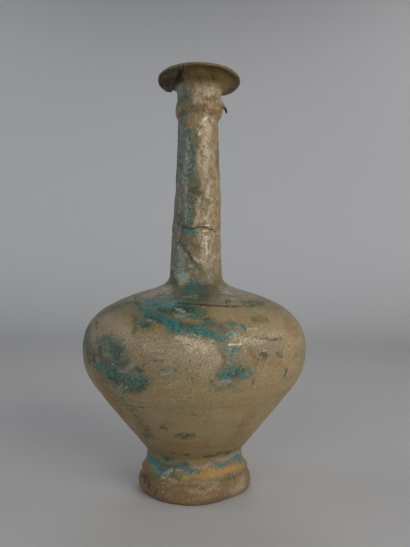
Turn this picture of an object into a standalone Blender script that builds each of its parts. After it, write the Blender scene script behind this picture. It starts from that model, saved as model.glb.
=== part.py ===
"""Long-necked bottle vase of glazed fired clay, one hollow piece.

The wall is a turned profile. It rests on a recessed foot ring and narrows to
a waist, opens as a cone to a broad belly, closes over a rounded shoulder into
a tall tapering neck with a moulded ring, and ends in a flat turned-out lip.
The neck leans a little, the lip sits askew, its back edge is broken away, it
is cracked at the near left, and the foot is worn at the near right.
Metres, +Z up, origin at the centre of the underside, near side at -Y.
"""

import math

import bmesh
import bpy

# Overall
HEIGHT = 0.2800
SEGMENTS = 56

# Foot ring, from the rest up to the waist
FOOT_BORE_R = 0.0275
FOOT_REST_IN_R = 0.0295
FOOT_REST_R = 0.0352
FOOT_R = 0.0380
FOOT_WIDE_Z = 0.0050
RIDGE_R = 0.0354
RIDGE_Z = 0.0132
RIDGE_PROUD = 0.0006
WAIST_R = 0.0321
WAIST_Z = 0.0245
CONE_R = 0.0660
CONE_Z = 0.0680
RECESS_Z = 0.0085
RECESS_CENTRE_Z = 0.0072

# Belly and shoulder
BELLY_R = 0.0753
BELLY_Z = 0.0940
SHOULDER_R = 0.0440
SHOULDER_Z = 0.1289
NECK_FOOT_R = 0.0181
NECK_FOOT_Z = 0.1425

# Neck, ring and collar
NECK_TOP_R = 0.01415
NECK_TOP_Z = 0.2500
RING_R = 0.0166
RING_Z = 0.2585
COLLAR_R = 0.0154
COLLAR_Z = 0.2662

# Lip
LIP_R = 0.0291
LIP_UNDER_Z = 0.2776
LIP_ROOT_R = 0.0168
LIP_ROOT_Z = 0.2736
LIP_DISH_R = 0.0170
LIP_DISH_Z = 0.2768

# Wall
WALL_BODY = 0.0050
WALL_NECK = 0.0041
BORE_TOP_R = 0.0100
BORE_TOP_Z = 0.2620
FLOOR_Z = 0.0190
FLOOR_R = 0.0200

# Lean of the neck and tilt of the lip
NECK_SHIFT = 0.0010
NECK_LEAN = 0.0012
LIP_SHIFT = 0.0009
LIP_TILT = math.radians(0.7)

# Damage
BREAK = [(-0.0360, 0.0148), (-0.0225, 0.0146), (-0.0178, 0.0141), (-0.0163, 0.0095), (-0.0152, 0.0050),
         (-0.0135, 0.0061), (-0.0114, 0.0102), (-0.0083, 0.0136), (-0.0044, 0.0160), (0.0000, 0.0174),
         (0.0031, 0.0177), (0.0080, 0.0184), (0.0160, 0.0196), (0.0240, 0.0203), (0.0380, 0.0207)]
CRACK = [(-0.0074, -0.0310, 0.00055), (-0.0074, -0.0285, 0.00050), (-0.0073, -0.0246, 0.00040),
         (-0.0086, -0.0212, 0.00060), (-0.0099, -0.0177, 0.00055), (-0.0107, -0.0140, 0.00080),
         (-0.0112, -0.0112, 0.00045)]
WEAR_DEPTH = 0.0022
WEAR_HEIGHT = 0.0060
WEAR_AZIMUTH = math.radians(-52.0)
WEAR_SPREAD = math.radians(34.0)
THORN_LENGTH = 0.0030
THORN_R = 0.0013
THORN_Z = 0.2588


def smooth(a, b, x):
    """Ramp from 0 at a to 1 at b with level ends."""
    t = min(1.0, max(0.0, (x - a) / (b - a)))
    return t * t * (3.0 - 2.0 * t)


def bezier(p0, p1, p2, p3, count):
    """Points after p0 along a cubic, up to and including p3."""
    points = []
    for i in range(1, count + 1):
        t = i / count
        u = 1.0 - t
        points.append(tuple(
            u * u * u * a + 3 * u * u * t * b + 3 * u * t * t * c + t * t * t * d
            for a, b, c, d in zip(p0, p1, p2, p3)))
    return points


def neck_radius(z):
    """Taper of the neck, a little hollow, with three faint turning waves."""
    t = (z - NECK_FOOT_Z) / (NECK_TOP_Z - NECK_FOOT_Z)
    taper = NECK_TOP_R + (NECK_FOOT_R - NECK_TOP_R) * (1.0 - t) ** 1.15
    wave = 0.00022 * math.sin(2 * math.pi * (z - 0.171) / 0.0185) * smooth(0.165, 0.18, z) * (1 - smooth(0.215, 0.235, z))
    return taper + wave


def foot_profile():
    """From the outer edge of the rest up to the waist."""
    points = [(FOOT_REST_R, 0.0)]
    points += bezier((FOOT_REST_R, 0.0), (FOOT_REST_R + 0.0012, 0.0002),
                     (FOOT_R, FOOT_WIDE_Z - 0.0028), (FOOT_R, FOOT_WIDE_Z), 3)
    points += bezier((FOOT_R, FOOT_WIDE_Z), (FOOT_R, FOOT_WIDE_Z + 0.003),
                     (RIDGE_R + 0.0004, RIDGE_Z - 0.004), (RIDGE_R, RIDGE_Z - 0.0010), 2)
    points += [(RIDGE_R + RIDGE_PROUD, RIDGE_Z), (RIDGE_R - 0.0006, RIDGE_Z + 0.0009)]
    points += bezier((RIDGE_R - 0.0006, RIDGE_Z + 0.0009), (RIDGE_R - 0.0026, RIDGE_Z + 0.0040),
                     (WAIST_R - 0.0001, WAIST_Z - 0.0040), (WAIST_R, WAIST_Z), 3)
    return points


def body_profile():
    """From the waist over the belly and shoulder to the foot of the neck."""
    points = [(WAIST_R + 0.0007, WAIST_Z + 0.0026)]
    points += bezier(points[-1], (0.0430, 0.0400), (0.0555, 0.0540), (CONE_R, CONE_Z), 5)
    points += bezier((CONE_R, CONE_Z), (0.0710, 0.0740), (BELLY_R, 0.0825), (BELLY_R, BELLY_Z), 5)
    points += bezier((BELLY_R, BELLY_Z), (BELLY_R, 0.1115), (0.0655, 0.1210), (SHOULDER_R, SHOULDER_Z), 7)
    points += bezier((SHOULDER_R, SHOULDER_Z), (0.0280, 0.1346), (0.0190, 0.1346), (NECK_FOOT_R, NECK_FOOT_Z), 5)
    return points


def neck_profile():
    """Up the neck, over the ring and collar, to the root of the lip."""
    steps = 8
    points = []
    for i in range(1, steps + 1):
        z = NECK_FOOT_Z + (NECK_TOP_Z - NECK_FOOT_Z) * i / steps
        points.append((neck_radius(z), z))
    points += bezier((NECK_TOP_R, NECK_TOP_Z), (NECK_TOP_R + 0.0002, NECK_TOP_Z + 0.003),
                     (RING_R, RING_Z - 0.0055), (RING_R, RING_Z), 4)
    points += bezier((RING_R, RING_Z), (RING_R, RING_Z + 0.0040),
                     (COLLAR_R, COLLAR_Z - 0.0040), (COLLAR_R, COLLAR_Z), 3)
    points += bezier((COLLAR_R, COLLAR_Z), (COLLAR_R, COLLAR_Z + 0.0030),
                     (LIP_ROOT_R - 0.0012, LIP_ROOT_Z - 0.0010), (LIP_ROOT_R, LIP_ROOT_Z), 2)
    return points


def lip_profile():
    """Out along the underside of the lip, round its edge and back to the bore."""
    under = (LIP_R - 0.0010, LIP_UNDER_Z)
    crest = (LIP_R - 0.0010, HEIGHT)
    points = bezier((LIP_ROOT_R, LIP_ROOT_Z), (0.0205, 0.2762), (0.0240, 0.2768), under, 2)
    points += bezier(under, (LIP_R + 0.0002, LIP_UNDER_Z + 0.0002),
                     (LIP_R + 0.0003, HEIGHT), crest, 3)
    points += bezier(crest, (0.0245, HEIGHT - 0.0001), (0.0205, LIP_DISH_Z + 0.0010),
                     (LIP_DISH_R, LIP_DISH_Z), 2)
    points += bezier((LIP_DISH_R, LIP_DISH_Z), (0.0125, 0.2748), (BORE_TOP_R, 0.2700),
                     (BORE_TOP_R, BORE_TOP_Z), 4)
    return points


def inner_profile(outer):
    """Down the bore and round the inside of the body to its floor."""
    steps = 4
    points = []
    for i in range(1, steps + 1):
        z = BORE_TOP_Z + (NECK_FOOT_Z + 0.002 - BORE_TOP_Z) * i / steps
        points.append((neck_radius(z) - WALL_NECK if z < NECK_TOP_Z else BORE_TOP_R, z))
    inside = []
    for (r0, z0), (r1, z1), (r2, z2) in zip(outer, outer[1:], outer[2:]):
        dr, dz = r2 - r0, z2 - z0
        length = math.hypot(dr, dz)
        wall = WALL_BODY - (WALL_BODY - WALL_NECK) * smooth(0.12, NECK_FOOT_Z, z1)
        inside.append((r1 - wall * dz / length, z1 + wall * dr / length))
    inside = [p for p in inside if FLOOR_Z + 0.010 < p[1] < NECK_FOOT_Z - 0.0015]
    points += inside[::-2]
    low = points[-1]
    points += bezier(low, (low[0] - 0.0040, low[1] - 0.0050), (FLOOR_R + 0.006, FLOOR_Z + 0.0006),
                     (FLOOR_R, FLOOR_Z), 3)
    return points + [(0.010, FLOOR_Z - 0.0006)]


def underside_profile():
    """Under the foot, from the middle of the recess out to the rest."""
    return [(0.014, RECESS_CENTRE_Z), (FOOT_BORE_R - 0.003, RECESS_Z), (FOOT_BORE_R, 0.0060),
            (FOOT_BORE_R + 0.0007, 0.0016), (FOOT_REST_IN_R, 0.0)]


def settle(x, y, z):
    """Wear of the foot, lean of the neck and tilt of the lip at one point."""
    r = math.hypot(x, y)
    if z < WEAR_HEIGHT and r > FOOT_REST_IN_R:
        away = math.atan2(y, x) - WEAR_AZIMUTH
        away = math.atan2(math.sin(away), math.cos(away)) / WEAR_SPREAD
        if abs(away) < 1.0:
            bite = WEAR_DEPTH * (1.0 - away * away) ** 2 * (1.0 - z / WEAR_HEIGHT)
            x, y = x * (r - bite) / r, y * (r - bite) / r
    shift = (NECK_SHIFT * smooth(0.118, 0.150, z) + NECK_LEAN * smooth(0.165, 0.200, z)
             + LIP_SHIFT * smooth(0.246, 0.262, z))
    z -= math.tan(LIP_TILT) * x * smooth(0.262, 0.274, z)
    return x + shift, y, z


def turned(name, rings, low_centre, high_centre):
    """Closed mesh turned from a profile whose two ends are capped at the axis."""
    bm = bmesh.new()
    loops = []
    for r, z in rings:
        loop = []
        for k in range(SEGMENTS):
            a = 2 * math.pi * k / SEGMENTS
            loop.append(bm.verts.new(settle(r * math.cos(a), r * math.sin(a), z)))
        loops.append(loop)
    for a, b in zip(loops, loops[1:]):
        for k in range(SEGMENTS):
            n = (k + 1) % SEGMENTS
            bm.faces.new((a[k], a[n], b[n], b[k]))
    start = bm.verts.new((0.0, 0.0, low_centre))
    end = bm.verts.new((0.0, 0.0, high_centre))
    for k in range(SEGMENTS):
        n = (k + 1) % SEGMENTS
        bm.faces.new((start, loops[0][n], loops[0][k]))
        bm.faces.new((end, loops[-1][k], loops[-1][n]))
    bmesh.ops.recalc_face_normals(bm, faces=bm.faces)
    mesh = bpy.data.meshes.new(name)
    bm.to_mesh(mesh)
    bm.free()
    obj = bpy.data.objects.new(name, mesh)
    bpy.context.scene.collection.objects.link(obj)
    return obj


def slab(name, outline, z_low, z_high):
    """Upright prism over a plan outline."""
    bm = bmesh.new()
    low = [bm.verts.new((x, y, z_low)) for x, y in outline]
    face = bm.faces.new(low)
    grown = bmesh.ops.extrude_face_region(bm, geom=[face])
    for v in grown["geom"]:
        if isinstance(v, bmesh.types.BMVert):
            v.co.z = z_high
    bmesh.ops.recalc_face_normals(bm, faces=bm.faces)
    mesh = bpy.data.meshes.new(name)
    bm.to_mesh(mesh)
    bm.free()
    obj = bpy.data.objects.new(name, mesh)
    bpy.context.scene.collection.objects.link(obj)
    obj.hide_render = True
    obj.display_type = 'WIRE'
    return obj


def combine(target, tool, operation):
    """Boolean that stays on the piece as a modifier."""
    mod = target.modifiers.new(tool.name, 'BOOLEAN')
    mod.operation = operation
    mod.solver = 'EXACT'
    mod.object = tool


def break_outline():
    """Plan of what is gone from the back of the lip, close round the collar on the left."""
    return BREAK + [(0.038, 0.040), (-0.036, 0.040)]


def crack_outline():
    """Plan of the gap where the lip is cracked through, from the rim in to the collar."""
    left, right = [], []
    for i, (x, y, half) in enumerate(CRACK):
        xa, ya, _ = CRACK[max(0, i - 1)]
        xb, yb, _ = CRACK[min(len(CRACK) - 1, i + 1)]
        length = math.hypot(xb - xa, yb - ya)
        nx, ny = -(yb - ya) / length, (xb - xa) / length
        left.append((x + nx * half, y + ny * half))
        right.append((x - nx * half, y - ny * half))
    return right + left[::-1]


def thorn():
    """Small spur of fused glaze standing off the right side of the ring."""
    shift = NECK_SHIFT + NECK_LEAN
    start = RING_R + shift - 0.0012
    bm = bmesh.new()
    bmesh.ops.create_cone(bm, cap_ends=True, cap_tris=False, segments=8,
                          radius1=THORN_R, radius2=0.0002, depth=THORN_LENGTH + 0.0012)
    for v in bm.verts:
        v.co.z += (THORN_LENGTH + 0.0012) / 2
        v.co.x, v.co.z = v.co.z, v.co.x
        v.co.z = -v.co.z * 1.4
        v.co.x += start
        v.co.z += THORN_Z - 0.35 * (v.co.x - start)
    bmesh.ops.recalc_face_normals(bm, faces=bm.faces)
    mesh = bpy.data.meshes.new("thorn")
    bm.to_mesh(mesh)
    bm.free()
    obj = bpy.data.objects.new("thorn", mesh)
    bpy.context.scene.collection.objects.link(obj)
    obj.hide_render = True
    obj.display_type = 'WIRE'
    return obj


def glazed_clay():
    """Turquoise glaze under a sandy buff crust."""
    material = bpy.data.materials.new("glazed_clay")
    material.use_nodes = True
    shader = material.node_tree.nodes["Principled BSDF"]
    shader.inputs["Base Color"].default_value = (0.29, 0.235, 0.155, 1.0)
    shader.inputs["Roughness"].default_value = 0.55
    shader.inputs["Metallic"].default_value = 0.0
    material.diffuse_color = (0.29, 0.235, 0.155, 1.0)
    return material


def main():
    for obj in list(bpy.data.objects):
        bpy.data.objects.remove(obj, do_unlink=True)

    outer = foot_profile() + body_profile()
    rings = (underside_profile() + outer + neck_profile() + lip_profile() + inner_profile(outer))
    vase = turned("vase", rings, RECESS_CENTRE_Z - 0.0004, FLOOR_Z - 0.0008)

    combine(vase, slab("lip_break", break_outline(), 0.2725, 0.3000), 'DIFFERENCE')
    combine(vase, slab("lip_crack", crack_outline(), 0.2720, 0.3000), 'DIFFERENCE')
    combine(vase, thorn(), 'UNION')

    vase.data.materials.append(glazed_clay())
    vase.data.shade_smooth()
    vase.data.set_sharp_from_angle(angle=math.radians(40.0))


main()
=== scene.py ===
"""Looks of the long-necked bottle vase: fine mesh, crust and glaze, floor, light and camera."""
import math

import bpy
import numpy as np
from mathutils import Matrix, Vector, kdtree


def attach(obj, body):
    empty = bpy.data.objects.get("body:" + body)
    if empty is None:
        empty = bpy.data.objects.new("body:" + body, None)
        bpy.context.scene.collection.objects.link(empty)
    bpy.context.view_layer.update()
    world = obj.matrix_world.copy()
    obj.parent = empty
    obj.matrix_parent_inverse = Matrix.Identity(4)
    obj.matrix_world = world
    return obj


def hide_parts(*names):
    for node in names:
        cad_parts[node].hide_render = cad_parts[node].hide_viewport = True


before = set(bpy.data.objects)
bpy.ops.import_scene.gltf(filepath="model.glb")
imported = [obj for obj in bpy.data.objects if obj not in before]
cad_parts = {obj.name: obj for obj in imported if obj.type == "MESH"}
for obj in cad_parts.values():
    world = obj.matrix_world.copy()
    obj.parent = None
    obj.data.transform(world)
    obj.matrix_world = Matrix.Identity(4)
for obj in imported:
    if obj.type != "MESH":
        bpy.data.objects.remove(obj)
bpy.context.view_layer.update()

# ---------------------------------------------------------------- sizes (metres)

HEIGHT = 0.2800
FOOT_BORE_R, FOOT_REST_IN_R, FOOT_REST_R = 0.0275, 0.0295, 0.0352
FOOT_R, FOOT_WIDE_Z = 0.0380, 0.0050
RIDGE_R, RIDGE_Z, RIDGE_PROUD = 0.0354, 0.0132, 0.0006
WAIST_R, WAIST_Z = 0.0321, 0.0245
RECESS_Z, RECESS_CENTRE_Z = 0.0085, 0.0072
CONE_R, CONE_Z = 0.0660, 0.0680
BELLY_R, BELLY_Z = 0.0753, 0.0940
SHOULDER_R, SHOULDER_Z = 0.0440, 0.1289
NECK_FOOT_R, NECK_FOOT_Z = 0.0181, 0.1425
NECK_TOP_R, NECK_TOP_Z = 0.01415, 0.2500
RING_R, RING_Z = 0.0166, 0.2585
COLLAR_R, COLLAR_Z = 0.0154, 0.2662
LIP_R, LIP_UNDER_Z = 0.0291, 0.2776
LIP_ROOT_R, LIP_ROOT_Z = 0.0168, 0.2736
LIP_DISH_R, LIP_DISH_Z = 0.0170, 0.2768
WALL_BODY, WALL_NECK = 0.0050, 0.0041
BORE_TOP_R, BORE_TOP_Z = 0.0100, 0.2620
FLOOR_R, FLOOR_Z = 0.0200, 0.0190

NECK_SHIFT, NECK_LEAN, LIP_SHIFT = 0.0010, 0.0012, 0.0009
LIP_TILT = math.radians(0.7)
WEAR_DEPTH, WEAR_HEIGHT = 0.0022, 0.0060
WEAR_AZIMUTH, WEAR_SPREAD = math.radians(-52.0), math.radians(34.0)

# Camera, with the focal length in pixels of the 410 x 547 frame
FRAME_W, FRAME_H = 410, 547
FOCAL = 489.0
HORIZON = 289.0
CAMERA = (0.0071, -0.3400, 0.1331)
PITCH = math.atan((HORIZON - FRAME_H / 2) / FOCAL)

FRONT = -math.pi / 2
CROWD = 0.35  # how much closer together the segments are at the front

rng = np.random.default_rng(11)


# ---------------------------------------------------------------- noise

GRADIENTS = np.array([(1, 1, 0), (-1, 1, 0), (1, -1, 0), (-1, -1, 0), (1, 0, 1), (-1, 0, 1),
                      (1, 0, -1), (-1, 0, -1), (0, 1, 1), (0, -1, 1), (0, 1, -1), (0, -1, -1)], float)


def gradient_noise(p, seed):
    """Smooth noise of about -1 to 1 at points p of a unit lattice."""
    base = np.floor(p).astype(np.int64)
    f = p - base
    u = f * f * f * (f * (f * 6 - 15) + 10)
    total = np.zeros(len(p))
    for corner in range(8):
        o = np.array([corner & 1, corner >> 1 & 1, corner >> 2 & 1])
        c = (base + o).astype(np.uint32)
        h = c[:, 0] * np.uint32(374761393) + c[:, 1] * np.uint32(668265263) + c[:, 2] * np.uint32(2246822519)
        h = h + np.uint32((seed * 974711 + 12345) & 0xFFFFFFFF)
        h = (h ^ (h >> np.uint32(13))) * np.uint32(1274126177)
        h = h ^ (h >> np.uint32(16))
        g = GRADIENTS[h % np.uint32(12)]
        w = np.prod(np.where(o == 1, u, 1 - u), axis=1)
        total += w * ((f - o) * g).sum(axis=1)
    return total


def fbm(p, size, octaves, seed, gain=0.5):
    """Layered noise whose largest features are about size across. size may differ along X, Y and Z."""
    q = p / np.asarray(size, float)
    total, amp, norm = np.zeros(len(p)), 1.0, 0.0
    for i in range(octaves):
        total += amp * gradient_noise(q * 2 ** i + 17.3 * i, seed + i)
        norm += amp
        amp *= gain
    return total / norm * 1.6


def smooth(a, b, x):
    t = np.clip((np.asarray(x, float) - a) / (b - a), 0.0, 1.0)
    return t * t * (3.0 - 2.0 * t)


# ---------------------------------------------------------------- profile

def bezier(p0, p1, p2, p3, count=48):
    t = np.linspace(0, 1, count + 1)[1:, None]
    u = 1 - t
    p0, p1, p2, p3 = (np.array(p) for p in (p0, p1, p2, p3))
    return u ** 3 * p0 + 3 * u * u * t * p1 + 3 * u * t * t * p2 + t ** 3 * p3


def neck_radius(z):
    t = (z - NECK_FOOT_Z) / (NECK_TOP_Z - NECK_FOOT_Z)
    taper = NECK_TOP_R + (NECK_FOOT_R - NECK_TOP_R) * np.clip(1.0 - t, 0, 1) ** 1.15
    wave = 0.00022 * np.sin(2 * math.pi * (z - 0.171) / 0.0185)
    return taper + wave * smooth(0.165, 0.18, z) * (1 - smooth(0.215, 0.235, z))


def foot_profile():
    ridge_in = (RIDGE_R - 0.0006, RIDGE_Z + 0.0009)
    return np.vstack([
        [(FOOT_REST_R, 0.0)],
        bezier((FOOT_REST_R, 0.0), (FOOT_REST_R + 0.0012, 0.0002),
               (FOOT_R, FOOT_WIDE_Z - 0.0028), (FOOT_R, FOOT_WIDE_Z)),
        bezier((FOOT_R, FOOT_WIDE_Z), (FOOT_R, FOOT_WIDE_Z + 0.003),
               (RIDGE_R + 0.0004, RIDGE_Z - 0.004), (RIDGE_R, RIDGE_Z - 0.0010)),
        bezier((RIDGE_R, RIDGE_Z - 0.0010), (RIDGE_R + 0.0003, RIDGE_Z - 0.0006),
               (RIDGE_R + RIDGE_PROUD, RIDGE_Z - 0.0004), (RIDGE_R + RIDGE_PROUD, RIDGE_Z), 8),
        bezier((RIDGE_R + RIDGE_PROUD, RIDGE_Z), (RIDGE_R + RIDGE_PROUD, RIDGE_Z + 0.0006),
               (RIDGE_R, RIDGE_Z + 0.0007), ridge_in, 8),
        bezier(ridge_in, (RIDGE_R - 0.0026, RIDGE_Z + 0.0040),
               (WAIST_R - 0.0001, WAIST_Z - 0.0040), (WAIST_R, WAIST_Z))])


def body_profile():
    start = (WAIST_R + 0.0007, WAIST_Z + 0.0026)
    return np.vstack([
        bezier((WAIST_R, WAIST_Z), (WAIST_R + 0.0001, WAIST_Z + 0.0011),
               (start[0] - 0.0003, start[1] - 0.0007), start, 8),
        bezier(start, (0.0430, 0.0400), (0.0555, 0.0540), (CONE_R, CONE_Z)),
        bezier((CONE_R, CONE_Z), (0.0710, 0.0740), (BELLY_R, 0.0825), (BELLY_R, BELLY_Z)),
        bezier((BELLY_R, BELLY_Z), (BELLY_R, 0.1115), (0.0655, 0.1210), (SHOULDER_R, SHOULDER_Z)),
        bezier((SHOULDER_R, SHOULDER_Z), (0.0280, 0.1346), (0.0190, 0.1346), (NECK_FOOT_R, NECK_FOOT_Z))])


def neck_profile():
    z = np.linspace(NECK_FOOT_Z, NECK_TOP_Z, 160)[1:]
    return np.stack([neck_radius(z), z], axis=1)


def ring_profile():
    return np.vstack([
        bezier((NECK_TOP_R, NECK_TOP_Z), (NECK_TOP_R + 0.0002, NECK_TOP_Z + 0.003),
               (RING_R, RING_Z - 0.0055), (RING_R, RING_Z)),
        bezier((RING_R, RING_Z), (RING_R, RING_Z + 0.0040),
               (COLLAR_R, COLLAR_Z - 0.0040), (COLLAR_R, COLLAR_Z)),
        bezier((COLLAR_R, COLLAR_Z), (COLLAR_R, COLLAR_Z + 0.0030),
               (LIP_ROOT_R - 0.0012, LIP_ROOT_Z - 0.0010), (LIP_ROOT_R, LIP_ROOT_Z))])


def lip_profile():
    under = (LIP_R - 0.0010, LIP_UNDER_Z)
    crest = (LIP_R - 0.0010, HEIGHT)
    return np.vstack([
        bezier((LIP_ROOT_R, LIP_ROOT_Z), (0.0205, 0.2762), (0.0240, 0.2768), under),
        bezier(under, (LIP_R + 0.0002, LIP_UNDER_Z + 0.0002), (LIP_R + 0.0003, HEIGHT), crest),
        bezier(crest, (0.0245, HEIGHT - 0.0001), (0.0205, LIP_DISH_Z + 0.0010), (LIP_DISH_R, LIP_DISH_Z))])


def throat_profile():
    return bezier((LIP_DISH_R, LIP_DISH_Z), (0.0125, 0.2748), (BORE_TOP_R, 0.2700), (BORE_TOP_R, BORE_TOP_Z))


def inner_profile(outer):
    """Down the bore and round the inside of the body to its floor."""
    z = np.linspace(BORE_TOP_Z, NECK_FOOT_Z + 0.002, 40)[1:]
    bore = np.stack([np.where(z < NECK_TOP_Z, neck_radius(z) - WALL_NECK, BORE_TOP_R), z], axis=1)
    d = outer[2:] - outer[:-2]
    d /= np.linalg.norm(d, axis=1)[:, None]
    mid = outer[1:-1]
    wall = WALL_BODY - (WALL_BODY - WALL_NECK) * smooth(0.12, NECK_FOOT_Z, mid[:, 1])
    inside = np.stack([mid[:, 0] - wall * d[:, 1], mid[:, 1] + wall * d[:, 0]], axis=1)
    inside = inside[(inside[:, 1] > FLOOR_Z + 0.010) & (inside[:, 1] < NECK_FOOT_Z - 0.0015)][::-1]
    low = inside[-1]
    return np.vstack([bore, inside,
                      bezier(low, (low[0] - 0.0040, low[1] - 0.0050), (FLOOR_R + 0.006, FLOOR_Z + 0.0006),
                             (FLOOR_R, FLOOR_Z)),
                      [(0.010, FLOOR_Z - 0.0006)]])


def resampled(points, spacing):
    """The same line with points at an even spacing. The first point is left out."""
    step = np.linalg.norm(np.diff(points, axis=0), axis=1)
    length = np.concatenate([[0], np.cumsum(step)])
    count = max(2, int(round(length[-1] / spacing)))
    at = np.linspace(0, length[-1], count + 1)[1:]
    return np.stack([np.interp(at, length, points[:, k]) for k in (0, 1)], axis=1)


def shift_at(z):
    return (NECK_SHIFT * smooth(0.118, 0.150, z) + NECK_LEAN * smooth(0.165, 0.200, z)
            + LIP_SHIFT * smooth(0.246, 0.262, z))


def settle(p):
    """Wear of the foot, lean of the neck and tilt of the lip."""
    x, y, z = p.T.copy()
    r = np.hypot(x, y) + 1e-9
    away = np.arctan2(y, x) - WEAR_AZIMUTH
    away = np.clip(np.arctan2(np.sin(away), np.cos(away)) / WEAR_SPREAD, -1, 1)
    bite = WEAR_DEPTH * (1 - away * away) ** 2 * np.clip(1 - z / WEAR_HEIGHT, 0, 1)
    bite = np.where((z < WEAR_HEIGHT) & (r > FOOT_REST_IN_R), bite, 0)
    x, y = x * (r - bite) / r, y * (r - bite) / r
    z2 = z - math.tan(LIP_TILT) * x * smooth(0.262, 0.274, z)
    return np.stack([x + shift_at(z), y, z2], axis=1)


UNDER, FOOT, BODY, NECK, RING, LIP_BELOW, LIP_ABOVE, INSIDE = range(8)


def rings():
    """[(r, z, segments, zone)] from the middle of the underside to the floor inside."""
    under = np.array([(0.0001, RECESS_CENTRE_Z - 0.0004), (0.014, RECESS_CENTRE_Z), (FOOT_BORE_R - 0.003, RECESS_Z),
                      (FOOT_BORE_R, 0.0060), (FOOT_BORE_R + 0.0007, 0.0016), (FOOT_REST_IN_R, 0.0)])
    foot = foot_profile()
    body = np.vstack([foot[-1:], body_profile()])
    neck = np.vstack([body[-1:], neck_profile()])
    ring = np.vstack([neck[-1:], ring_profile()])
    lip = np.vstack([ring[-1:], lip_profile()])
    crest = int(np.argmax(lip[:, 1]))
    throat = np.vstack([lip[-1:], throat_profile()])
    inner = np.vstack([throat[-1:], inner_profile(np.vstack([foot, body[1:]]))])
    out = []
    for points, spacing, segments, zone in (
            (under, 0.0024, 96, UNDER), (np.array([under[-1], foot[0]]), 0.0014, 192, UNDER),
            (foot, 0.00110, 192, FOOT), (body, 0.00123, 384, BODY), (neck, 0.00122, 192, NECK),
            (ring, 0.00085, 192, RING), (lip[:crest + 1], 0.00075, 192, LIP_BELOW),
            (lip[crest:], 0.0016, 192, LIP_ABOVE), (throat, 0.0013, 96, INSIDE), (inner, 0.0042, 96, INSIDE)):
        out += [(r, z, segments, zone) for r, z in resampled(points, spacing)]
    return out


def angles(segments):
    """Segment angles, closer together at the front. Half the segments fall on every other one."""
    a = 2 * math.pi * np.arange(segments) / segments
    return FRONT + a - CROWD * np.sin(a)


def turned(ring_list):
    """Vertices, faces, outward normals and zones of the closed turned form before any relief."""
    rz = np.array([(r, z) for r, z, _, _ in ring_list])
    slope = np.gradient(rz, axis=0)
    slope /= np.linalg.norm(slope, axis=1)[:, None] + 1e-12
    places, normals, zones, starts, faces = [], [], [], [], []
    count = 0
    for (r, z, n, zone), (dr, dz) in zip(ring_list, slope):
        a = angles(n)
        places.append(np.stack([r * np.cos(a), r * np.sin(a), np.full(n, z)], axis=1))
        normals.append(np.stack([dz * np.cos(a), dz * np.sin(a), np.full(n, -dr)], axis=1))
        zones.append(np.full(n, zone))
        starts.append(count)
        count += n
    for i in range(len(ring_list) - 1):
        na, nb, a, b = ring_list[i][2], ring_list[i + 1][2], starts[i], starts[i + 1]
        if na == nb:
            for k in range(na):
                m = (k + 1) % na
                faces.append((a + k, a + m, b + m, b + k))
        elif na == 2 * nb:
            for k in range(nb):
                m = (k + 1) % nb
                p, q, s = a + 2 * k, a + 2 * k + 1, a + (2 * k + 2) % na
                faces += [(p, q, b + k), (q, b + m, b + k), (q, s, b + m)]
        elif nb == 2 * na:
            for k in range(na):
                m = (k + 1) % na
                p, q, s = b + 2 * k, b + 2 * k + 1, b + (2 * k + 2) % nb
                faces += [(a + k, q, p), (a + k, a + m, q), (a + m, s, q)]
    n0, n1 = ring_list[0][2], ring_list[-1][2]
    places += [np.array([[0, 0, ring_list[0][1]]]), np.array([[0, 0, ring_list[-1][1] - 0.0002]])]
    normals += [np.array([[0, 0, -1.0]]), np.array([[0, 0, 1.0]])]
    zones += [np.array([UNDER]), np.array([INSIDE])]
    for k in range(n0):
        faces.append((count, starts[0] + (k + 1) % n0, starts[0] + k))
    for k in range(n1):
        faces.append((count + 1, starts[-1] + k, starts[-1] + (k + 1) % n1))
    return np.vstack(places), faces, np.vstack(normals), np.concatenate(zones)


# ---------------------------------------------------------------- from the picture's frame to the surface

CP, SP = math.cos(PITCH), math.sin(PITCH)
OUTER = np.vstack([foot_profile(), body_profile(), neck_profile(), ring_profile()])
OUTER_ORDER = np.argsort(OUTER[:, 1])
OUTER_Z, OUTER_R = OUTER[OUTER_ORDER, 1], OUTER[OUTER_ORDER, 0]


def ray(x, y):
    """Direction of the sight line through a pixel, one unit deep."""
    u, v = (x - FRAME_W / 2) / FOCAL, (FRAME_H / 2 - y) / FOCAL
    return np.array([u, CP - v * SP, SP + v * CP])


def on_wall(x, y):
    """The point of the outer wall that shows at a pixel, or the nearest to it on the outline."""
    d = ray(x, y)
    t = np.linspace(0.22, 0.40, 1200)
    p = np.array(CAMERA) + t[:, None] * d
    gap = np.hypot(p[:, 0] - shift_at(p[:, 2]), p[:, 1]) - np.interp(p[:, 2], OUTER_Z, OUTER_R)
    hit = np.nonzero((gap < 0) & (p[:, 2] > 0) & (p[:, 2] < LIP_ROOT_Z))[0]
    return p[hit[0]] if len(hit) else p[int(np.argmin(gap))]


def on_lip(x, y):
    """The point of the lip's underside that shows at a pixel."""
    d = ray(x, y)
    t = (0.2764 - CAMERA[2]) / d[2]
    return np.array(CAMERA) + t * d


def on_rim(x, y):
    """The point of the lip's edge that shows at a pixel."""
    d = ray(x, y)
    t = (0.2786 - CAMERA[2]) / d[2]
    return np.array(CAMERA) + t * d


def seen_at(p):
    """Where points show in the 410 x 547 frame, in pixels."""
    d = p - np.array(CAMERA)
    depth = d[:, 1] * CP + d[:, 2] * SP
    return np.stack([FRAME_W / 2 + FOCAL * d[:, 0] / depth,
                     FRAME_H / 2 - FOCAL * (d[:, 2] * CP - d[:, 1] * SP) / depth], axis=1)


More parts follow.
